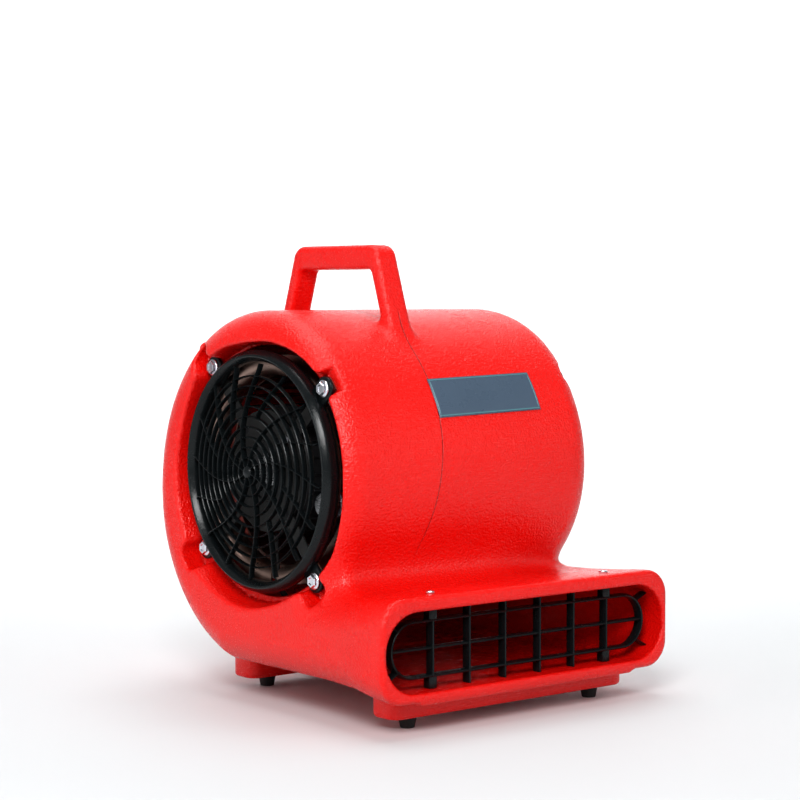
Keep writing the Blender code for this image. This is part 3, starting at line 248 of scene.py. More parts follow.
def housing_field(x, y, z):
    """Field of the whole moulded housing. y is from the blower axis and z from the floor."""
    drum = drum_section(y, z)
    below = DUCT_LOW(y) - z
    round_drum = round_max(drum, below, 0.012)
    duct = np.maximum(np.maximum(z - DUCT_TOP(y), y - 0.03), below)
    corner = DUCT_ROUND(y)
    low = smooth_step((0.165 - z) / 0.040)
    near = NEAR_X + (DUCT_NEAR(y) - NEAR_X) * low
    near_half = round_max(np.maximum(blend_min(round_drum, duct, THROAT_BLEND), below), near - x, corner)
    wide = round_max(duct, x - DUCT_FAR(y), corner)
    tall = round_max(round_drum, x - FAR_X, RIM)
    soft = THROAT_BLEND + (0.022 - THROAT_BLEND) * smooth_step((x - 0.02) / 0.12)
    soft = soft + (0.008 - soft) * smooth_step((y + 0.115) / 0.055)
    far_half = np.maximum(blend_min(tall, wide, soft), below)
    outer = np.where(x < MIDDLE_X, near_half, far_half)
    outer = round_max(outer, LIP_Y - y, 0.005)
    chin = np.maximum(np.abs(x) - 0.138 - (z - 0.029), np.maximum(0.029 - z, z - 0.050))
    chin = round_max(chin, np.maximum(-0.2175 - y, y + 0.200), 0.002)
    outer = np.maximum(blend_min(outer, chin, 0.006), LIP_Y - y)
    for middle, half, _ in RAILS:
        flat = round_max(np.abs(x) - half, np.abs(y - middle) - 0.020, 0.014)
        rail = np.maximum(round_max(flat, RAIL_Z - z, 0.004), z - FLOOR_Z - 0.015)
        outer = blend_min(outer, rail, 0.006)
    outer = blend_min(outer, handle_field(x, y, z), 0.013)
    for at_x in (-0.138, 0.118):
        outer = blend_min(outer, nub_field(x, y, z, at_x), 0.004)

    drum = round_max(drum, FLOOR_Z - z, 0.012)
    air = round_max(round_max(drum + WALL, NEAR_X + WALL - x, RIM - WALL), x - FAR_X + WALL, RIM - WALL)
    top, base = BORE_TOP(y), BORE_LOW(y)
    left, right = BORE_NEAR(y), BORE_FAR(y)
    past_height = np.abs(z - (top + base) / 2) - (top - base) / 2
    past_width = np.abs(x - (left + right) / 2) - (right - left) / 2
    bore = round_max(past_height, past_width, BORE_ROUND(y))
    air = blend_min(air, np.maximum(bore, y), 0.006)
    near_dish = dish_field(x, y, z, NEAR_X, PAD_NEAR_X, TROUGH_NEAR)
    far_dish = dish_field(x, y, z, FAR_X, PAD_FAR_X, TROUGH_FAR)
    air = np.maximum(air, -np.maximum(near_dish - WALL, x - PAD_NEAR_X - WALL))
    air = np.maximum(air, -np.maximum(far_dish - WALL, PAD_FAR_X - WALL - x))
    pocket_x, pocket_z = np.abs(x - PANEL_X) - PANEL_HALF_X, np.abs(z - PANEL_Z) - PANEL_HALF_Z
    air = np.maximum(air, -np.maximum(np.maximum(pocket_x, pocket_z) - 0.010, PANEL_SEAT - WALL - y))

    shell = round_max(outer, -air, 0.0024)
    shell = round_max(shell, -np.maximum(near_dish, x - PAD_NEAR_X), 0.0030)
    shell = round_max(shell, -np.maximum(far_dish, PAD_FAR_X - x), 0.0030)
    shell = round_max(shell, -np.maximum(np.hypot(y, z - AXIS_Z) - INLET_RADIUS, 0.10 - np.abs(x)), 0.0014)
    draft = 0.003 + 0.15 * (y - PANEL_SEAT)
    pocket = np.maximum(round_max(pocket_x - draft, pocket_z - draft, 0.008), PANEL_SEAT - y)
    shell = round_max(shell, -pocket, 0.003)
    window = np.maximum(np.maximum(np.abs(x - PANEL_X) - 0.042, np.abs(z - PANEL_Z) - 0.028), 0.150 - y)
    return np.maximum(shell, -window)


# ---------------------------------------------------------------- mesh tools
def link(name, mesh):
    """A new object in the scene."""
    obj = bpy.data.objects.new(name, mesh)
    bpy.context.scene.collection.objects.link(obj)
    return obj


def field_mesh(name, field, low, high, step, adaptivity):
    """Mesh of the zero surface of a field, its points drawn onto the exact surface."""
    axes = [np.arange(a, b + step, step, dtype=np.float32) for a, b in zip(low, high)]
    grid = np.empty([len(a) for a in axes], np.float32)
    for i, x in enumerate(axes[0]):
        y, z = np.meshgrid(axes[1], axes[2], indexing="ij")
        grid[i] = field(np.full_like(y, x), y, z)
    np.clip(grid, -3 * step, 3 * step, out=grid)
    volume = openvdb.FloatGrid()
    volume.copyFromArray(grid)
    points, tris, quads = volume.convertToPolygons(isovalue=0.0, adaptivity=adaptivity)
    points = points.astype(np.float64) * step + np.array([a[0] for a in axes])
    normals = None
    for turn in range(4):
        slope = []
        for axis in range(3):
            shift = np.zeros(3)
            shift[axis] = 0.0004
            slope.append(field(*(points + shift).T) - field(*(points - shift).T))
        slope = np.array(slope).T / 0.0008
        size = np.maximum(np.linalg.norm(slope, axis=1), 0.3)
        normals = slope / size[:, None]
        if turn < 3:
            move = np.clip(field(*points.T) / size, -0.6 * step, 0.6 * step)
            points = points - normals * move[:, None]
    faces = [tuple(map(int, f)) for f in quads] + [tuple(map(int, f)) for f in tris]
    points[:, 1] += AXIS_Y
    mesh = bpy.data.meshes.new(name)
    mesh.from_pydata([tuple(p) for p in points], [], faces)
    mesh.update()
    first = mesh.polygons[0]
    if np.dot(np.array(first.normal), normals[list(first.vertices)].mean(axis=0)) < 0:
        mesh.flip_normals()
    mesh.shade_smooth()
    lengths = np.linalg.norm(normals, axis=1)
    normals = normals / np.maximum(lengths, 1e-6)[:, None]
    mesh.normals_split_custom_set_from_vertices([tuple(n) for n in normals])
    return link(name, mesh)


# ---------------------------------------------------------------- shapes made of loops
class Shape:
    """Closed shells collected into one piece."""

    def __init__(self):
        self.points = []
        self.faces = []

    def skin(self, loops, ring=False):
        """Quads between matching loops. An open stack gets end caps."""
        start, count = len(self.points), len(loops[0])
        for loop in loops:
            self.points += [tuple(p) for p in loop]
        total = len(loops)
        for a in range(total if ring else total - 1):
            b = (a + 1) % total
            for i in range(count):
                j = (i + 1) % count
                rows = (start + a * count, start + b * count)
                self.faces.append((rows[0] + i, rows[0] + j, rows[1] + j, rows[1] + i))
        if not ring:
            self.faces.append(tuple(start + i for i in range(count))[::-1])
            self.faces.append(tuple(start + (total - 1) * count + i for i in range(count)))
        return self

    def lathe(self, profile, segments, axis="X", centre=(0.0, AXIS_Y, AXIS_Z), ring=True):
        """Turn (along, radius) points about an axis."""
        place = {
            "X": lambda a, r, t: (a, r * math.cos(t), r * math.sin(t)),
            "Y": lambda a, r, t: (r * math.cos(t), a, r * math.sin(t)),
            "Z": lambda a, r, t: (r * math.cos(t), r * math.sin(t), a),
        }[axis]
        loops = []
        for a, r in profile:
            loop = []
            for i in range(segments):
                p = place(a, r, 2 * math.pi * (i + 0.5) / segments)
                loop.append([p[k] + centre[k] for k in range(3)])
            loops.append(loop)
        return self.skin(loops, ring)

    def prism(self, outline, low, high, axis, edge=0.0, steps=3):
        """An outline pushed along an axis, its end edges rounded by drawing it in."""
        place = {
            "X": lambda p, d: (d, p[0], p[1]),
            "Y": lambda p, d: (p[0], d, p[1]),
            "Z": lambda p, d: (p[0], p[1], d),
        }[axis]
        if edge == 0.0:
            return self.skin([[place(p, d) for p in outline] for d in (low, high)])
        loops = []
        for side, sign in ((low, 1), (high, -1)):
            half = []
            for i in range(steps + 1):
                t = math.pi / 2 * i / steps
                drawn = inset(outline, edge * (1 - math.sin(t)))
                half.append([place(p, side + sign * edge * (1 - math.cos(t))) for p in drawn])
            loops += half if sign > 0 else half[::-1]
        return self.skin(loops)

    def tube(self, path, wide, tall, up, sides=10, closed=False):
        """An oval bar along a path. up is the direction of its tall side."""
        path = [Vector(p) for p in path]
        count = len(path)
        loops = []
        for i, here in enumerate(path):
            before = path[i - 1] if i or closed else here
            after = path[(i + 1) % count] if i < count - 1 or closed else here
            along = (after - before).normalized()
            high = Vector(up)
            high = (high - along * high.dot(along)).normalized()
            side = along.cross(high)
            loop = []
            for k in range(sides):
                t = 2 * math.pi * k / sides
                loop.append(here + side * (wide * math.cos(t)) + high * (tall * math.sin(t)))
            loops.append(loop)
        return self.skin(loops, ring=closed)

    def mesh(self, name):
        """Its closed shells as one mesh, with the faces turned outwards."""
        bm = bmesh.new()
        verts = [bm.verts.new(p) for p in self.points]
        for face in self.faces:
            bm.faces.new([verts[i] for i in face])
        bmesh.ops.recalc_face_normals(bm, faces=bm.faces)
        mesh = bpy.data.meshes.new(name)
        bm.to_mesh(mesh)
        bm.free()
        return mesh


def inset(outline, distance):
    """Move each side of a closed outline inwards."""
    area = sum(a[0] * b[1] - b[0] * a[1] for a, b in zip(outline, outline[1:] + outline[:1]))
    turn = 1 if area > 0 else -1
    count = len(outline)
    moved = []
    for i in range(count):
        before, here, after = Vector(outline[i - 1]), Vector(outline[i]), Vector(outline[(i + 1) % count])
        d1, d2 = (here - before).normalized(), (after - here).normalized()
        n1, n2 = Vector((-d1.y, d1.x)) * turn, Vector((-d2.y, d2.x)) * turn
        mid = (n1 + n2).normalized()
        moved.append(tuple(here + mid * distance / max(mid.dot(n1), 0.4)))
    return moved


def arc(centre, radius, start, end, steps):
    """Points along an arc, angles in degrees."""
    points = []
    for i in range(steps + 1):
        t = math.radians(start + (end - start) * i / steps)
        points.append((centre[0] + radius * math.cos(t), centre[1] + radius * math.sin(t)))
    return points


def rounded_rect(low, high, radius, steps=6):
    """Outline of a rectangle between two corners, its corners rounded."""
    (x0, y0), (x1, y1) = low, high
    return (
        arc((x1 - radius, y0 + radius), radius, -90, 0, steps)
        + arc((x1 - radius, y1 - radius), radius, 0, 90, steps)
        + arc((x0 + radius, y1 - radius), radius, 90, 180, steps)
        + arc((x0 + radius, y0 + radius), radius, 180, 270, steps)
    )


def polar(radius, angle):
    """(y, z) at an angle about the blower axis, from the rear towards the top."""
    return (radius * math.cos(angle) + AXIS_Y, radius * math.sin(angle) + AXIS_Z)


def rounded_profile(points, radius, steps=3):
    """A closed profile with each corner rounded."""
    made = []
    count = len(points)
    for i in range(count):
        before, here, after = Vector(points[i - 1]), Vector(points[i]), Vector(points[(i + 1) % count])
        reach = min(radius, 0.45 * (before - here).length, 0.45 * (after - here).length)
        a, b = here + (before - here).normalized() * reach, here + (after - here).normalized() * reach
        for k in range(steps + 1):
            t = k / steps
            made.append(tuple(a * (1 - t) ** 2 + here * (2 * t * (1 - t)) + b * t**2))
    return made


def piece(name, shape, finish, body="shell", nodes=(), sharp=32.0):
    """Make a visual piece: link it, give it its finish and let it ride."""
    mesh = shape.mesh(name)
    mesh.shade_smooth()
    mesh.set_sharp_from_angle(angle=math.radians(sharp))
    obj = link(name, mesh)
    return settle(obj, finish, body, nodes)


def settle(obj, finish, body="shell", nodes=()):
    """Give an object its finish, and let it ride on a body in place of its nodes."""
    obj.data.materials.clear()
    obj.data.materials.append(finish)
    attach(obj, body)
    if nodes:
        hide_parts(*nodes)
    return obj


def cut(obj, shape):
    """Take a closed shape out of a piece with an exact Boolean."""
    cutter = link("cutter", shape.mesh("cutter"))
    step = obj.modifiers.new("cut", "BOOLEAN")
    step.solver = "EXACT"
    step.operation = "DIFFERENCE"
    step.object = cutter
    bpy.context.view_layer.update()
    graph = bpy.context.evaluated_depsgraph_get()
    obj.data = bpy.data.meshes.new_from_object(obj.evaluated_get(graph))
    obj.modifiers.clear()
    bpy.data.objects.remove(cutter, do_unlink=True)
    obj.data.shade_smooth()
    obj.data.set_sharp_from_angle(angle=math.radians(32))


# ---------------------------------------------------------------- finishes
def finish_material(
    name, colour, second, rough, metallic=0.0, grain=900.0, grain_depth=0.00012, coat=0.0, peel=0.0,
    peel_size=420.0, scratch=0.25, spread=14.0, stretch=(1.0, 1.0, 1.0), mottle=0.25, ior=1.5,
):
    """A moulded, painted or plated surface: two drifting tones, uneven gloss, grain, peel and scratches."""
    made = bpy.data.materials.new(name)
    made.use_nodes = True
    tree = made.node_tree
    nodes, links = tree.nodes, tree.links
    shader = nodes["Principled BSDF"]
    shader.inputs["Metallic"].default_value = metallic
    shader.inputs["Coat Weight"].default_value = coat
    shader.inputs["Coat Roughness"].default_value = 0.12
    shader.inputs["IOR"].default_value = ior
    place = nodes.new("ShaderNodeTexCoord")
    scaled = nodes.new("ShaderNodeMapping")
    scaled.inputs["Scale"].default_value = stretch
    links.new(place.outputs["Object"], scaled.inputs["Vector"])

    def noise(scale, detail, source):
        node = nodes.new("ShaderNodeTexNoise")
        node.inputs["Scale"].default_value = scale
        node.inputs["Detail"].default_value = detail
        links.new(source, node.inputs["Vector"])
        return node.outputs["Fac"]

    def remap(source, low, high, start=0.3, end=0.7):
        node = nodes.new("ShaderNodeMapRange")
        node.inputs["From Min"].default_value = start
        node.inputs["From Max"].default_value = end
        node.inputs["To Min"].default_value = low
        node.inputs["To Max"].default_value = high
        links.new(source, node.inputs["Value"])
        return node.outputs["Result"]

    def maths(operation, a, b):
        node = nodes.new("ShaderNodeMath")
        node.operation = operation
        for socket, value in zip(node.inputs, (a, b)):
            if isinstance(value, float):
                socket.default_value = value
            else:
                links.new(value, socket)
        return node.outputs["Value"]

    drift = noise(spread, 4.0, place.outputs["Object"])
    fine = noise(grain, 3.0, scaled.outputs["Vector"])
    cloud = noise(spread * 5.0, 5.0, scaled.outputs["Vector"])
    mix = nodes.new("ShaderNodeMix")
    mix.data_type = "RGBA"
    mix.inputs["A"].default_value = (*colour, 1.0)
    mix.inputs["B"].default_value = (*second, 1.0)
    amount = maths("ADD", remap(drift, 0.0, mottle), remap(fine, 0.0, mottle * 0.35))
    links.new(amount, mix.inputs["Factor"])
    links.new(mix.outputs["Result"], shader.inputs["Base Color"])

    streaks = nodes.new("ShaderNodeTexNoise")
    streaks.inputs["Scale"].default_value = 60.0
    streaks.inputs["Detail"].default_value = 6.0
    long_way = nodes.new("ShaderNodeMapping")
    long_way.inputs["Scale"].default_value = (1.0, 9.0, 14.0)
    long_way.inputs["Rotation"].default_value = (0.4, 0.3, 0.7)
    links.new(place.outputs["Object"], long_way.inputs["Vector"])
    links.new(long_way.outputs["Vector"], streaks.inputs["Vector"])
    worn = remap(streaks.outputs["Fac"], 0.0, scratch, 0.60, 0.72)
    gloss = maths("ADD", remap(cloud, rough[0], rough[1]), maths("MULTIPLY", worn, 0.35))
    links.new(gloss, shader.inputs["Roughness"])

    bump = nodes.new("ShaderNodeBump")
    bump.inputs["Strength"].default_value = 1.0
    bump.inputs["Distance"].default_value = grain_depth
    links.new(fine, bump.inputs["Height"])
    if peel > 0.0:
        wave = nodes.new("ShaderNodeBump")
        wave.inputs["Strength"].default_value = 1.0
        wave.inputs["Distance"].default_value = peel
        links.new(noise(peel_size, 2.0, place.outputs["Object"]), wave.inputs["Height"])
        links.new(wave.outputs["Normal"], bump.inputs["Normal"])
    links.new(bump.outputs["Normal"], shader.inputs["Normal"])
    return made, nodes, links, shader, mix, bump


def red_plastic(name):
    """Glossy moulded red with orange peel, and the mould's parting line round the drum, darkened in colour as
    painted shade in its groove.
    """
    made, nodes, links, shader, mix, bump = finish_material(
        name, (0.78, 0.006, 0.003), (0.64, 0.004, 0.002), (0.20, 0.30), grain=1500.0, grain_depth=0.00008,
        peel=0.00120, peel_size=430.0, scratch=0.35, spread=5.0, mottle=0.5, ior=1.46)
    place = nodes.new("ShaderNodeTexCoord")
    split = nodes.new("ShaderNodeSeparateXYZ")
    links.new(place.outputs["Object"], split.inputs["Vector"])

    def maths(operation, a, b=0.0, clamp=False):
        node = nodes.new("ShaderNodeMath")
        node.operation = operation
        node.use_clamp = clamp
        for socket, value in zip(node.inputs, (a, b)):
            if isinstance(value, float):
                socket.default_value = value
            else:
                links.new(value, socket)
        return node.outputs["Value"]

    x, z = split.outputs["X"], split.outputs["Z"]
    lean = maths("MAXIMUM", maths("SUBTRACT", 0.33, z), 0.0)
    line = maths("SUBTRACT", -0.0505, maths("MULTIPLY", maths("MULTIPLY", lean, lean), 0.82))
    away = maths("ABSOLUTE", maths("SUBTRACT", x, line))
    seam = maths("SUBTRACT", 1.0, maths("DIVIDE", away, 0.0008), clamp=True)
    high = maths("MULTIPLY", maths("SUBTRACT", z, 0.150), 30.0, clamp=True)
    under = maths("MULTIPLY", maths("SUBTRACT", 0.405, z), 60.0, clamp=True)
    seam = maths("MULTIPLY", seam, maths("MULTIPLY", high, under))
    # Painted shade: the base colour along the parting line is darkened to stand for the shade in its groove.
    painted_seam_shade = nodes.new("ShaderNodeMix")
    painted_seam_shade.data_type = "RGBA"
    painted_seam_shade.inputs["B"].default_value = (0.22, 0.002, 0.001, 1.0)
    links.new(maths("MULTIPLY", seam, 0.75), painted_seam_shade.inputs["Factor"])
    links.new(mix.outputs["Result"], painted_seam_shade.inputs["A"])
    links.new(painted_seam_shade.outputs["Result"], shader.inputs["Base Color"])
    groove = nodes.new("ShaderNodeBump")
    groove.invert = True
    groove.inputs["Strength"].default_value = 1.0
    groove.inputs["Distance"].default_value = 0.0008
    links.new(seam, groove.inputs["Height"])
    links.new(bump.outputs["Normal"], groove.inputs["Normal"])
    links.new(groove.outputs["Normal"], shader.inputs["Normal"])
    return made


def plain(name, *args, **kwargs):
    """A finish as it comes, with nothing drawn on it."""
    return finish_material(name, *args, **kwargs)[0]


finishes = {
    "moulded_red": red_plastic("red_plastic"),
    "guard_black": plain(
        "guard_black", (0.005, 0.007, 0.008), (0.014, 0.018, 0.019), (0.16, 0.28),
        peel=0.00006, peel_size=260.0, ior=1.36,
    ),
    "zinc": plain(
        "zinc_plate", (0.80, 0.82, 0.88), (0.60, 0.55, 0.62), (0.12, 0.26), 1.0,
        grain=2600.0, grain_depth=0.00003, mottle=0.6,
    ),
    # Metal base colour tinted brownish pink as a painted reflection of the red housing on the galvanised
    # steel.
    "galvanised": plain(
        "galvanised_sheet", (0.46, 0.32, 0.27), (0.30, 0.21, 0.18), (0.26, 0.42), 1.0,
        grain=260.0, grain_depth=0.00008, mottle=0.8,
    ),
    "bracket_black": plain(
        "bracket_black", (0.010, 0.010, 0.010), (0.030, 0.028, 0.027), (0.35, 0.52),
        peel=0.00008,
    ),
    "motor_black": plain(
        "motor_black", (0.016, 0.017, 0.019), (0.040, 0.040, 0.042), (0.32, 0.48),
        grain=700.0, grain_depth=0.00018,
    ),
    "lamination": plain(
        "lamination_steel", (0.26, 0.27, 0.30), (0.12, 0.12, 0.13), (0.36, 0.52), 1.0,
        grain=800.0, stretch=(3.0, 0.15, 0.15),
    ),
    "bright_steel": plain(
        "bright_steel", (0.66, 0.66, 0.67), (0.48, 0.48, 0.50), (0.14, 0.30), 1.0,
        grain=1800.0, stretch=(4.0, 0.2, 0.2),
    ),
    "copper": plain(
        "winding_copper", (0.62, 0.24, 0.09), (0.32, 0.11, 0.04), (0.22, 0.40), 0.9,
        grain=900.0, grain_depth=0.0004, stretch=(0.4, 3.0, 3.0),
    ),
    "cast": plain(
        "cast_hub", (0.46, 0.46, 0.47), (0.30, 0.30, 0.31), (0.42, 0.60), 1.0, grain=600.0,
        grain_depth=0.0003,
    ),
    "can": plain(
        "capacitor_can", (0.66, 0.67, 0.69), (0.50, 0.50, 0.53), (0.20, 0.34), 1.0,
        stretch=(0.2, 3.0, 3.0),
    ),
    "control_black": plain(
        "control_black", (0.013, 0.013, 0.015), (0.028, 0.028, 0.030), (0.34, 0.50),
        grain=1300.0, grain_depth=0.00016,
    ),
    "cable_black": plain(
        "cable_black", (0.012, 0.012, 0.013), (0.030, 0.030, 0.031), (0.38, 0.56),
        grain=900.0,
    ),
    "button_red": plain("button_red", (0.56, 0.010, 0.008), (0.40, 0.008, 0.006), (0.24, 0.38)),
    "lamp_amber": plain(
        "lamp_amber", (0.82, 0.24, 0.02), (0.60, 0.15, 0.01), (0.06, 0.16), coat=0.5,
        grain=500.0,
    ),
    "foot_rubber": plain(
        "foot_rubber", (0.014, 0.014, 0.015), (0.034, 0.033, 0.032), (0.62, 0.80),
        grain=1100.0, grain_depth=0.0003,
    ),
    "plate": plain(
        "plate_face", (0.070, 0.105, 0.150), (0.045, 0.070, 0.105), (0.24, 0.36),
        grain=1400.0, grain_depth=0.00004, scratch=0.06,
    ),
    "plate_edge": plain(
        "plate_edge", (0.10, 0.24, 0.27), (0.06, 0.16, 0.19), (0.26, 0.40), grain=1200.0,
        grain_depth=0.00004,
    ),
    "mark": plain("mark_white", (0.72, 0.72, 0.70), (0.55, 0.55, 0.53), (0.40, 0.55)),
}

# Each carried-over node is finished like the pieces of its slot.
for node, obj in frame["nodes"].items():
    slot_name = next((p["material_slot"] for p in frame["record"]["subparts"] if p["node"] == node), "")
    obj.data.materials.clear()
    obj.data.materials.append(finishes[slot_name])


# ---------------------------------------------------------------- housing
def make_housing():
    """The whole moulding, from its field."""
    step = 0.0025
    low, high = (-0.195, -0.228, 0.005), (0.195, 0.202, 0.470)
    shell = field_mesh("housing_shell", housing_field, low, high, step, 0.05)
    settle(shell, finishes["moulded_red"], nodes=("housing",))


# ---------------------------------------------------------------- inlets
def ring_profile(x, r, half_x, half_r, steps=10):
    """Oval section of a ring, as (along, radius) points."""
    turns = [2 * math.pi * i / steps for i in range(steps)]
    return [(x + half_x * math.cos(t), r + half_r * math.sin(t)) for t in turns]


def radial_outline(r0, r1, half, angle):
    """Outline in (y, z) of a straight strip between two radii."""
    made = []
    for r, v in ((r0, -half), (r1, -half), (r1, half), (r0, half)):
        y, z = polar(r, angle)
        made.append((y - v * math.sin(angle), z + v * math.cos(angle)))
    return made


def make_guard(name, node, pad_x):
    """Domed inlet guard: heavy ring, fine rings, swept ribs and an ear at each bolt."""
    out = math.copysign(1.0, pad_x)
    seat = pad_x + out * (GAP + RING_SHEET + GAP + SHEET + GAP)
    face = seat + out * GUARD_DEPTH
    shape = Shape()
    rim = [
        (seat, GUARD_IN + 0.004), (seat, GUARD_OUT - 0.0010), (face - out * 0.0060, GUARD_OUT),
        (face, GUARD_OUT - 0.0055), (face, GUARD_IN + 0.0085), (face - out * 0.0070, GUARD_IN + 0.0035),
    ]
    shape.lathe(rounded_profile(rim, 0.0036, 4), 128)

    def dome(radius):
        return face - out * 0.002 + out * 0.009 * (1 - (radius / GUARD_IN) ** 2)

    for k in range(GUARD_RINGS):
        radius = GUARD_FIRST + GUARD_PITCH * k
        shape.lathe(ring_profile(dome(radius) - out * 0.0030, radius, 0.0032, 0.00085), 96)
    crown = dome(0)
    hub = [
        (crown - out * 0.009, 0.0055), (crown - out * 0.001, 0.0064), (crown + out * 0.0004, 0.0052),
        (crown + out * 0.0010, 0.0022),
    ]
    shape.lathe(hub, 32, ring=False)
    for k in range(GUARD_RIBS):
        start = BOLT_ANGLES[0] + k * 2 * math.pi / GUARD_RIBS
        inner = 0.004 if k % 2 == 0 else 0.0560
        path = []
        for i in range(17):
            radius = inner + (GUARD_IN + 0.002 - inner) * i / 16
            angle = start + out * GUARD_SWEEP * max(0.0, 1 - radius / GUARD_IN) ** 1.3
            y, z = polar(radius, angle)
            path.append((dome(radius) - out * 0.0030, y, z))
        shape.tube(path, 0.0008, 0.0034, (1, 0, 0))
    for angle in BOLT_ANGLES:
        outline = []
        local = [(0.1145, -0.0110), (BOLT_CIRCLE - 0.004, -0.0117)]
        local += [(BOLT_CIRCLE + a, b) for a, b in arc((0, 0), 0.0120, -90, 90, 14)]
        local += [(BOLT_CIRCLE - 0.004, 0.0117), (0.1145, 0.0110)]
        for u, v in local:
            y, z = polar(u, angle)
            outline.append((y - v * math.sin(angle), z + v * math.cos(angle)))
        ends = sorted((seat, seat + out * EAR_THICK))
        shape.prism(outline, *ends, "X", edge=0.0012)
    piece(name, shape, finishes["guard_black"], nodes=(node,))


def make_inlet_ring(name, node, pad_x, notch):
    """Spun ring with a rolled lip and a tab at each bolt, notched where the lead passes."""
    out = math.copysign(1.0, pad_x)
    back = pad_x + out * GAP
    front = back + out * RING_SHEET
    eye = 0.0960
    lip = [(front, 0.1180), (front, 0.1085)]
    for i in range(9):
        t = math.pi / 2 * i / 8
        reach = front - out * 0.0180 * (1 - math.cos(t))
        lip.append((reach, eye + (0.1070 - eye) * (1 - math.sin(t)) ** 1.25))
    under = [(a, r + RING_SHEET) for a, r in lip[2:]][::-1]
    under = [(min(a, back) if out > 0 else max(a, back), r) for a, r in under]
    shape = Shape().lathe(lip + under + [(back, 0.1095), (back, 0.1180)], 128)
    ends = sorted((back, front))
    for angle in BOLT_ANGLES:
        shape.prism(radial_outline(0.112, 0.1415, 0.008, angle), *ends, "X")
    ring = piece(name, shape, finishes["galvanised"], nodes=(node,))
    if notch is not None:
        low, high = sorted((pad_x - 0.008, pad_x + 0.010))
        cut(ring, Shape().prism(radial_outline(0.090, 0.125, 0.0048, notch), low, high, "X"))


def make_flange_bolt(name, node, side, angle):
    """Hexagon bolt with a round flange, its head dished."""
    pad_x = PAD_NEAR_X if side < 0 else PAD_FAR_X
    y, z = polar(BOLT_CIRCLE, angle)
    centre = (0.0, y, z)
    head = pad_x + side * (GAP + RING_SHEET + GAP + SHEET + GAP + EAR_THICK + GAP)
    shape = Shape()
    flange = [
        (head, 0.0082), (head + side * 0.0004, 0.0086), (head + side * 0.0012, 0.0084),
        (head + side * 0.0019, 0.0068),
    ]
    shape.lathe(flange, 40, centre=centre, ring=False)
    top = head + side * 0.0048
    cap = [
        (head + side * 0.001, 0.0068), (top - side * 0.0010, 0.0068), (top, 0.0060), (top, 0.0040),
        (top - side * 0.0009, 0.0032),
    ]
    shape.lathe(cap, 6, centre=centre, ring=False)
    shank = [(head - side * 0.016, 0.0027), (head - side * 0.0154, 0.0030), (head + side * 0.001, 0.0030)]
    shape.lathe(shank, 20, centre=centre, ring=False)
    piece(name, shape, finishes["zinc"], nodes=(node,), sharp=24.0)


# ---------------------------------------------------------------- outlet
def make_outlet_guard():
    """Racetrack loop, a middle bar, six posts with blocks at the outer two, and four short struts."""
    y = OUTLET_GUARD_Y
    shape = Shape()
    loop = rounded_rect((-0.166, 0.0535), (0.166, 0.1065), 0.0262, 14)
    shape.tube([(a, y, b) for a, b in loop], 0.0021, 0.0060, (0, 1, 0), sides=12, closed=True)
    top, bottom = 0.1177, 0.0413
    bar = [(-0.1655, y + 0.0005, 0.080), (0.1655, y + 0.0005, 0.080)]
    shape.tube(bar, 0.0020, 0.0052, (0, 1, 0), sides=12)
    for x in (-0.115, -0.069, -0.023, 0.023, 0.069, 0.115):
        shape.tube([(x, y, bottom), (x, y, top)], 0.0021, 0.0056, (0, 1, 0), sides=12)
        if abs(x) > 0.1:
            for z0, z1 in ((bottom, 0.0550), (0.1050, top)):
                block = rounded_rect((x - 0.0052, y - 0.0052), (x + 0.0052, y + 0.0052), 0.0024, 4)
                shape.prism(block, z0, z1, "Z", edge=0.0009)
    for sx in (-1, 1):
        for sz in (-1, 1):
            start = (sx * 0.1560, y, 0.080 + sz * 0.0190)
            end = (sx * 0.1715, y, 0.0795 + sz * 0.0268)
            shape.tube([start, end], 0.0016, 0.0055, (0, 1, 0), sides=12)
    piece("outlet_guard", shape, finishes["guard_black"], nodes=("outlet_grille",))


def make_pan_screw(name, node, place, axis, seat, out, radius):
    """Pan-head screw with a cross recess, standing on a face at seat."""
    a, b = place
    centre = (a, b, 0.0) if axis == "Z" else (a, 0.0, b)
    shape = Shape()
    head = [
        (seat, radius), (seat + out * 0.0008, radius * 1.02), (seat + out * 0.0016, radius * 0.90),
        (seat + out * 0.0022, radius * 0.62), (seat + out * 0.0024, radius * 0.25),
    ]
    shape.lathe(head, 32, axis=axis, centre=centre, ring=False)
    screw = piece(name, shape, finishes["zinc"], nodes=(node,))
    low, high = sorted((seat + out * 0.0009, seat + out * 0.0040))
    for half_a, half_b in ((radius * 0.60, 0.00055), (0.00055, radius * 0.60)):
        outline = rounded_rect((a - half_a, b - half_b), (a + half_a, b + half_b), 0.0003, 1)
        cut(screw, Shape().prism(outline, low, high, axis))


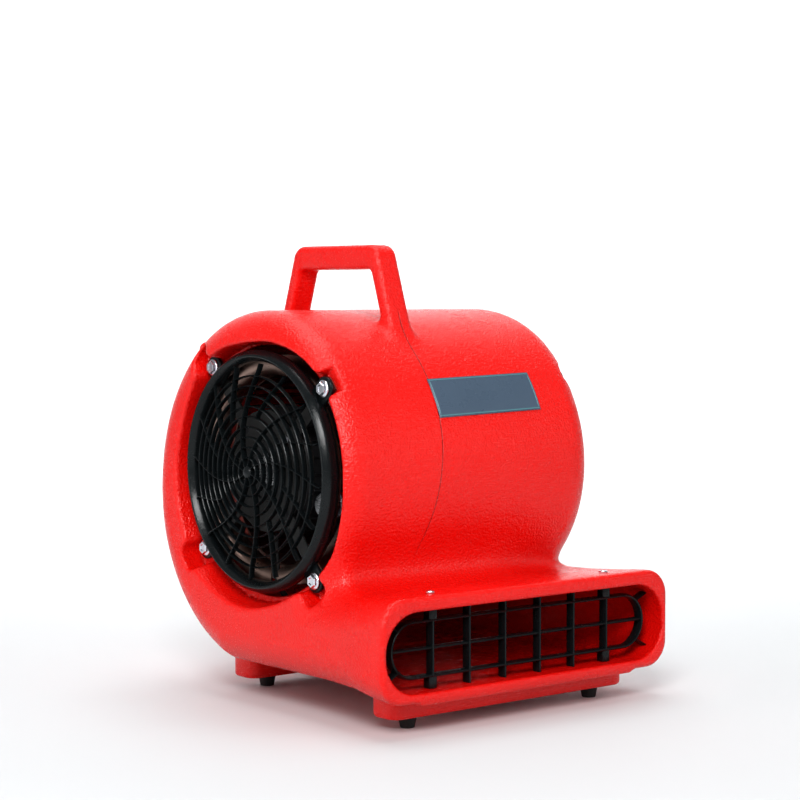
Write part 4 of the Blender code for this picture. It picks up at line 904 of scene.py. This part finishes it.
# ---------------------------------------------------------------- wheel and motor
def make_wheel():
    """Squirrel-cage wheel: curved blades between two rings, and a disc."""
    shape = Shape()
    for k in range(BLADES):
        angle = 2 * math.pi * k / BLADES
        outer, inner = [], []
        for i in range(6):
            share = i / 5
            radius = WHEEL_EYE + (WHEEL_RADIUS - 0.0004 - WHEEL_EYE) * share
            lean = angle - 0.115 * math.sin(share * math.pi / 2) ** 2
            ray = Vector((math.cos(lean), math.sin(lean)))
            across = Vector((-ray.y, ray.x)) * 0.00045
            outer.append((ray.x * radius + across.x + AXIS_Y, ray.y * radius + across.y + AXIS_Z))
            inner.append((ray.x * radius - across.x + AXIS_Y, ray.y * radius - across.y + AXIS_Z))
        shape.prism(outer + inner[::-1], WHEEL_NEAR_X + 0.001, WHEEL_FAR_X - 0.001, "X")
    rim = WHEEL_RADIUS + 0.0004
    for x0, x1 in ((WHEEL_NEAR_X, WHEEL_NEAR_X + 0.0026), (WHEEL_FAR_X - 0.0026, WHEEL_FAR_X)):
        band = [(x0, WHEEL_EYE - 0.001), (x1, WHEEL_EYE - 0.001), (x1, rim), (x0, rim)]
        shape.lathe(rounded_profile(band, 0.0010), 96)
    x0, x1 = DISC_X - 0.001, DISC_X + 0.001
    disc = [(x0, 0.0125), (x1, 0.0125), (x1, rim), (x0, rim)]
    shape.lathe(rounded_profile(disc, 0.0006, 1), 96)
    piece("wheel", shape, finishes["galvanised"], body="rotor", nodes=("blower_wheel",))


def make_motor():
    """The two motor bells, the front one with fins."""
    front = PAD_NEAR_X - GAP - RING_SHEET
    bore = 0.0163
    shape = Shape()
    profile = [
        (front, bore), (front, 0.0555), (front + 0.006, 0.0618), (-0.1240, 0.065), (-0.1240, 0.0600),
        (front + 0.009, 0.0550), (front + 0.009, bore),
    ]
    shape.lathe(rounded_profile(profile, 0.0030), 96)
    for k in range(24):
        angle = 2 * math.pi * k / 24
        outline = []
        for r, v in ((0.0640, -0.0009), (0.0657, -0.0006), (0.0657, 0.0006), (0.0640, 0.0009)):
            y, z = polar(r, angle)
            outline.append((y - v * math.sin(angle), z + v * math.cos(angle)))
        shape.prism(outline, front + 0.010, -0.1245, "X")
    piece("motor_bell_front", shape, finishes["motor_black"], nodes=("motor_front_bell",))
    rear, core_end = -0.0280, -0.0640
    shape = Shape()
    profile = [
        (rear, bore), (rear - 0.009, bore), (rear - 0.009, 0.0540), (core_end + GAP, 0.0600),
        (core_end + GAP, 0.065), (rear - 0.008, 0.0620), (rear, 0.0540),
    ]
    shape.lathe(rounded_profile(profile, 0.0030), 96)
    piece("motor_bell_rear", shape, finishes["motor_black"], nodes=("motor_rear_bell",))


# ---------------------------------------------------------------- controls
def make_panel():
    """Rear panel with raised marks round the switch and a hole for each control."""
    low = (PANEL_X - PANEL_HALF_X, PANEL_Z - PANEL_HALF_Z)
    high = (PANEL_X + PANEL_HALF_X, PANEL_Z + PANEL_HALF_Z)
    shape = Shape().prism(rounded_rect(low, high, 0.006, 8), PANEL_BACK, PANEL_FACE, "Y", edge=0.0011)
    for k in range(4):
        angle = math.radians(90 - 30 * k)
        ray = Vector((math.cos(angle), math.sin(angle)))
        a, b = Vector(SWITCH_AT) + ray * 0.0178, Vector(SWITCH_AT) + ray * 0.0215
        ends = [(a.x, PANEL_FACE, a.y), (b.x, PANEL_FACE, b.y)]
        shape.tube(ends, 0.0007, 0.0006, (0, 1, 0), sides=8)
    panel = piece("rear_panel", shape, finishes["control_black"], nodes=("control_panel",))
    for (x, z), radius in ((SWITCH_AT, 0.0045), (RESET_AT, 0.0052), (LAMP_AT, 0.0042), (GLAND_AT, 0.0082)):
        bore = [(PANEL_BACK - 0.01, radius), (PANEL_FACE + 0.01, radius)]
        cut(panel, Shape().lathe(bore, 32, axis="Y", centre=(x, 0.0, z), ring=False))


def make_knob():
    """Speed knob: a tapered skirt with a grip bar, and a white pointer on the bar."""
    x, z = SWITCH_AT
    tip = 0.196 + AXIS_Y
    base = PANEL_FACE + 0.0005
    shape = Shape()
    profile = [
        (base, 0.0150), (base + 0.0006, 0.0155), (base + 0.0034, 0.0155), (base + 0.0046, 0.0146),
        (base + 0.0120, 0.0132), (tip - 0.0090, 0.0124), (tip - 0.0080, 0.0114),
    ]
    shape.lathe(profile, 64, axis="Y", centre=(x, 0.0, z), ring=False)
    grip = rounded_rect((x - 0.0036, z - 0.0144), (x + 0.0036, z + 0.0144), 0.0030, 6)
    shape.prism(grip, base + 0.002, tip, "Y", edge=0.0012)
    black = finishes["control_black"]
    piece("switch_knob", shape, black, body="knob", nodes=("speed_knob",))
    line = rounded_rect((x - 0.0007, z + 0.0030), (x + 0.0007, z + 0.0128), 0.0006, 3)
    mark = Shape().prism(line, tip - 0.0006, tip, "Y", edge=0.0001)
    piece("knob_pointer", mark, finishes["mark"], body="knob")


def make_reset():
    """Push button of the circuit breaker."""
    x, z = RESET_AT
    foot, top = PANEL_FACE - 0.0030, PANEL_FACE + 0.0055
    profile = rounded_profile([(foot, 0.0006), (foot, 0.0030), (top, 0.0030), (top, 0.0006)], 0.0008)
    shape = Shape().lathe(profile, 32, axis="Y", centre=(x, 0.0, z))
    piece("reset_cap", shape, finishes["button_red"], body="button", nodes=("reset_button",))


def make_lamp():
    """Domed lens of the pilot lamp."""
    x, z = LAMP_AT
    face = PANEL_FACE
    lens = [
        (PANEL_BACK - 0.012, 0.0038), (face + GAP, 0.0038), (face + GAP, 0.0056), (face + 0.0010, 0.0056),
        (face + 0.0022, 0.0049), (face + 0.0031, 0.0034), (face + 0.0035, 0.0012),
    ]
    shape = Shape().lathe(lens, 40, axis="Y", centre=(x, 0.0, z), ring=False)
    piece("lamp_lens", shape, finishes["lamp_amber"], nodes=("pilot_lamp",))


def make_gland():
    """Hexagon gland with a ribbed collar, open where the cord would leave."""
    x, z = GLAND_AT
    face = PANEL_FACE
    shape = Shape()
    nut = [
        (face + GAP, 0.0050), (face + GAP, 0.0118), (face + 0.0010, 0.0122), (face + 0.0050, 0.0122),
        (face + 0.0060, 0.0114), (face + 0.0060, 0.0050),
    ]
    shape.lathe(nut, 6, axis="Y", centre=(x, 0.0, z))
    inside = PANEL_BACK - 0.0090
    collar = [(inside, 0.0045), (inside, 0.0078), (face + 0.0060, 0.0078), (face + 0.0062, 0.0104)]
    for k in range(5):
        y = face + 0.0070 + 0.0019 * k
        r = 0.0102 - 0.0005 * k
        collar += [(y, r), (y + 0.0009, r), (y + 0.0011, r - 0.0010), (y + 0.0016, r - 0.0010)]
    collar += [(face + 0.0160, 0.0080), (face + 0.0160, 0.0045)]
    shape.lathe(collar, 40, axis="Y", centre=(x, 0.0, z))
    piece("gland", shape, finishes["control_black"], nodes=("cable_gland",))


def make_controls():
    """Everything on the rear panel."""
    make_panel()
    make_knob()
    make_reset()
    make_lamp()
    make_gland()
    reach_x, reach_z = PANEL_HALF_X - 0.006, PANEL_HALF_Z - 0.006
    for k, (sx, sz) in enumerate(((-1, -1), (-1, 1), (1, -1), (1, 1))):
        place = (PANEL_X + sx * reach_x, PANEL_Z + sz * reach_z)
        names = (f"panel_fixing_{k + 1}", f"panel_screw_{k + 1}")
        make_pan_screw(*names, place, "Y", PANEL_FACE + GAP, 1, 0.0034)


# ---------------------------------------------------------------- feet and plate
def make_feet():
    """Tapered rubber feet under the two rails."""
    places = [(side * foot, y + AXIS_Y) for y, _, foot in RAILS for side in (-1, 1)]
    top = RAIL_Z - GAP
    for k, (x, y) in enumerate(places):
        profile = [
            (0.0, 0.0048), (0.0, 0.0070), (0.0040, 0.0078), (top, 0.0094), (top, 0.0024),
            (0.0052, 0.0024), (0.0052, 0.0048),
        ]
        shape = Shape().lathe(rounded_profile(profile, 0.0009), 48, axis="Z", centre=(x, y, 0.0))
        piece(f"rubber_foot_{k + 1}", shape, finishes["foot_rubber"], nodes=(f"foot_{k + 1}",))


def on_drum(along, climb, height):
    """A point over the front of the drum, from the middle of the label plate."""
    askew, turn = math.radians(1.6), 30.4
    x = 0.0162 + along * math.cos(askew) - climb * math.sin(askew)
    rise = along * math.sin(askew) + climb * math.cos(askew)
    turn = turn + math.degrees(rise / volute_radius(turn))
    radius = volute_radius(turn) + height
    t = math.radians(turn)
    return (x, AXIS_Y - radius * math.cos(t), AXIS_Z + radius * math.sin(t))


def drum_patch(shape, a0, a1, c0, c1, low, high, steps):
    """Add a thin slab that follows the drum, its upper edges eased."""
    rows = []
    edge = 0.0004
    for along, draw in ((a0, edge), (a0 + edge, 0.0), (a1 - edge, 0.0), (a1, edge)):
        over, under = [], []
        for i in range(steps + 1):
            climb = c0 + (c1 - c0) * i / steps
            end = 0.0003 if i in (0, steps) else 0.0
            over.append(on_drum(along, climb, high - min(draw, 0.0003) - end))
            under.append(on_drum(along, climb, low))
        rows.append(over + under[::-1])
    shape.skin(rows)


def make_plate():
    """Blank label plate and its raised border."""
    shape = Shape()
    drum_patch(shape, -0.0682, 0.0682, -0.0210, 0.0210, GAP, 0.00125, 24)
    piece("plate_blank", shape, finishes["plate"], nodes=("label_plate",))
    border = Shape()
    for a0, a1, c0, c1 in (
        (-0.0670, 0.0670, 0.0186, 0.0198), (-0.0670, 0.0670, -0.0198, -0.0186),
        (-0.0670, -0.0658, -0.0186, 0.0186), (0.0658, 0.0670, -0.0186, 0.0186),
    ):
        drum_patch(border, a0, a1, c0, c1, 0.0010, 0.0015, 16)
    piece("plate_border", border, finishes["plate_edge"])


make_housing()
make_guard("guard_near", "inlet_grille_near", PAD_NEAR_X)
make_guard("guard_far", "inlet_grille_far", PAD_FAR_X)
make_inlet_ring("air_ring_near", "inlet_ring_near", PAD_NEAR_X, math.radians(-95))
make_inlet_ring("air_ring_far", "inlet_ring_far", PAD_FAR_X, None)
for number, bolt_angle in enumerate(BOLT_ANGLES):
    make_flange_bolt(f"flange_bolt_near_{number + 1}", f"near_bolt_{number + 1}", -1, bolt_angle)
    make_flange_bolt(f"flange_bolt_far_{number + 1}", f"far_bolt_{number + 1}", 1, bolt_angle)
make_outlet_guard()
for number, screw_x in enumerate((-0.115, 0.115)):
    spot = (screw_x, -0.2005 + AXIS_Y)
    for where, seat_z, outward in (("top", 0.132, 1), ("under", 0.0287, -1)):
        ending = f"{where}_{number + 1}"
        make_pan_screw(f"lip_screw_{ending}", f"outlet_screw_{ending}", spot, "Z", seat_z, outward, 0.0046)
make_wheel()
make_motor()
make_controls()
make_feet()
make_plate()


# ---------------------------------------------------------------- studio
def make_studio():
    """Pale floor curving up into a backdrop, an even sky and soft lights."""
    outline = [(BACKDROP_NEAR, 0.0)]
    for t in np.linspace(0, math.pi / 2, 16):
        outline.append((BACKDROP_FLAT + BACKDROP_BEND * math.sin(t), BACKDROP_BEND * (1 - math.cos(t))))
    outline.append((BACKDROP_FLAT + BACKDROP_BEND, BACKDROP_TOP))
    bm = bmesh.new()
    forward = Vector((0.632, 0.775, 0.0))
    side = Vector((0.775, -0.632, 0.0))
    rows = []
    for share in (-8.0, 8.0):
        rows.append([bm.verts.new(forward * d + side * share + Vector((0, 0, h))) for d, h in outline])
    for i in range(len(outline) - 1):
        bm.faces.new((rows[0][i], rows[1][i], rows[1][i + 1], rows[0][i + 1]))
    mesh = bpy.data.meshes.new("backdrop")
    bm.to_mesh(mesh)
    bm.free()
    mesh.shade_smooth()
    floor = link("backdrop", mesh)
    made = bpy.data.materials.new("paper")
    made.use_nodes = True
    shader = made.node_tree.nodes["Principled BSDF"]
    shader.inputs["Base Color"].default_value = (0.64, 0.655, 0.665, 1.0)
    shader.inputs["Roughness"].default_value = 0.75
    mesh.materials.append(made)

    world = bpy.data.worlds.new("studio")
    bpy.context.scene.world = world
    world.use_nodes = True
    world.node_tree.nodes["Background"].inputs["Color"].default_value = (1.0, 1.0, 1.0, 1.0)
    world.node_tree.nodes["Background"].inputs["Strength"].default_value = 0.30

    target = Vector((0.0, 0.0, 0.22))
    wall = Vector((2.15, 2.63, 0.90))
    for name, place, size, power, aim in (
        ("key", (-1.9, -1.9, 1.9), (1.1, 1.1), 66.0, target),
        ("top", (0.1, 0.2, 2.6), (1.6, 1.6), 28.0, target),
        ("side", (-2.6, 0.6, 0.8), (0.7, 1.2), 14.0, target),
        ("front", (1.2, -2.6, 1.1), (0.8, 1.2), 11.0, target),
        ("wash", (0.95, 1.16, 2.4), (3.0, 0.8), 75.0, wall),
    ):
        light = bpy.data.lights.new(name, "AREA")
        light.shape = "RECTANGLE"
        light.size, light.size_y = size
        light.energy = power
        lamp = bpy.data.objects.new(name, light)
        bpy.context.scene.collection.objects.link(lamp)
        lamp.location = place
        lamp.rotation_euler = (aim - Vector(place)).to_track_quat("-Z", "Y").to_euler()


def make_camera():
    """The camera at the angle that the object is looked at from."""
    level = math.cos(CAMERA_PITCH)
    back = Vector((math.sin(CAMERA_YAW) * level, -math.cos(CAMERA_YAW) * level, math.sin(CAMERA_PITCH)))
    camera = bpy.data.objects.new("camera", bpy.data.cameras.new("camera"))
    camera.data.lens = CAMERA_LENS
    camera.data.sensor_width = 36.0
    camera.location = CAMERA_AT
    camera.rotation_euler = (-back).to_track_quat("-Z", "Y").to_euler()
    bpy.context.scene.collection.objects.link(camera)
    bpy.context.scene.camera = camera


make_studio()
make_camera()
bpy.context.scene.view_settings.view_transform = "Standard"
bpy.context.scene.view_settings.look = "Medium High Contrast"
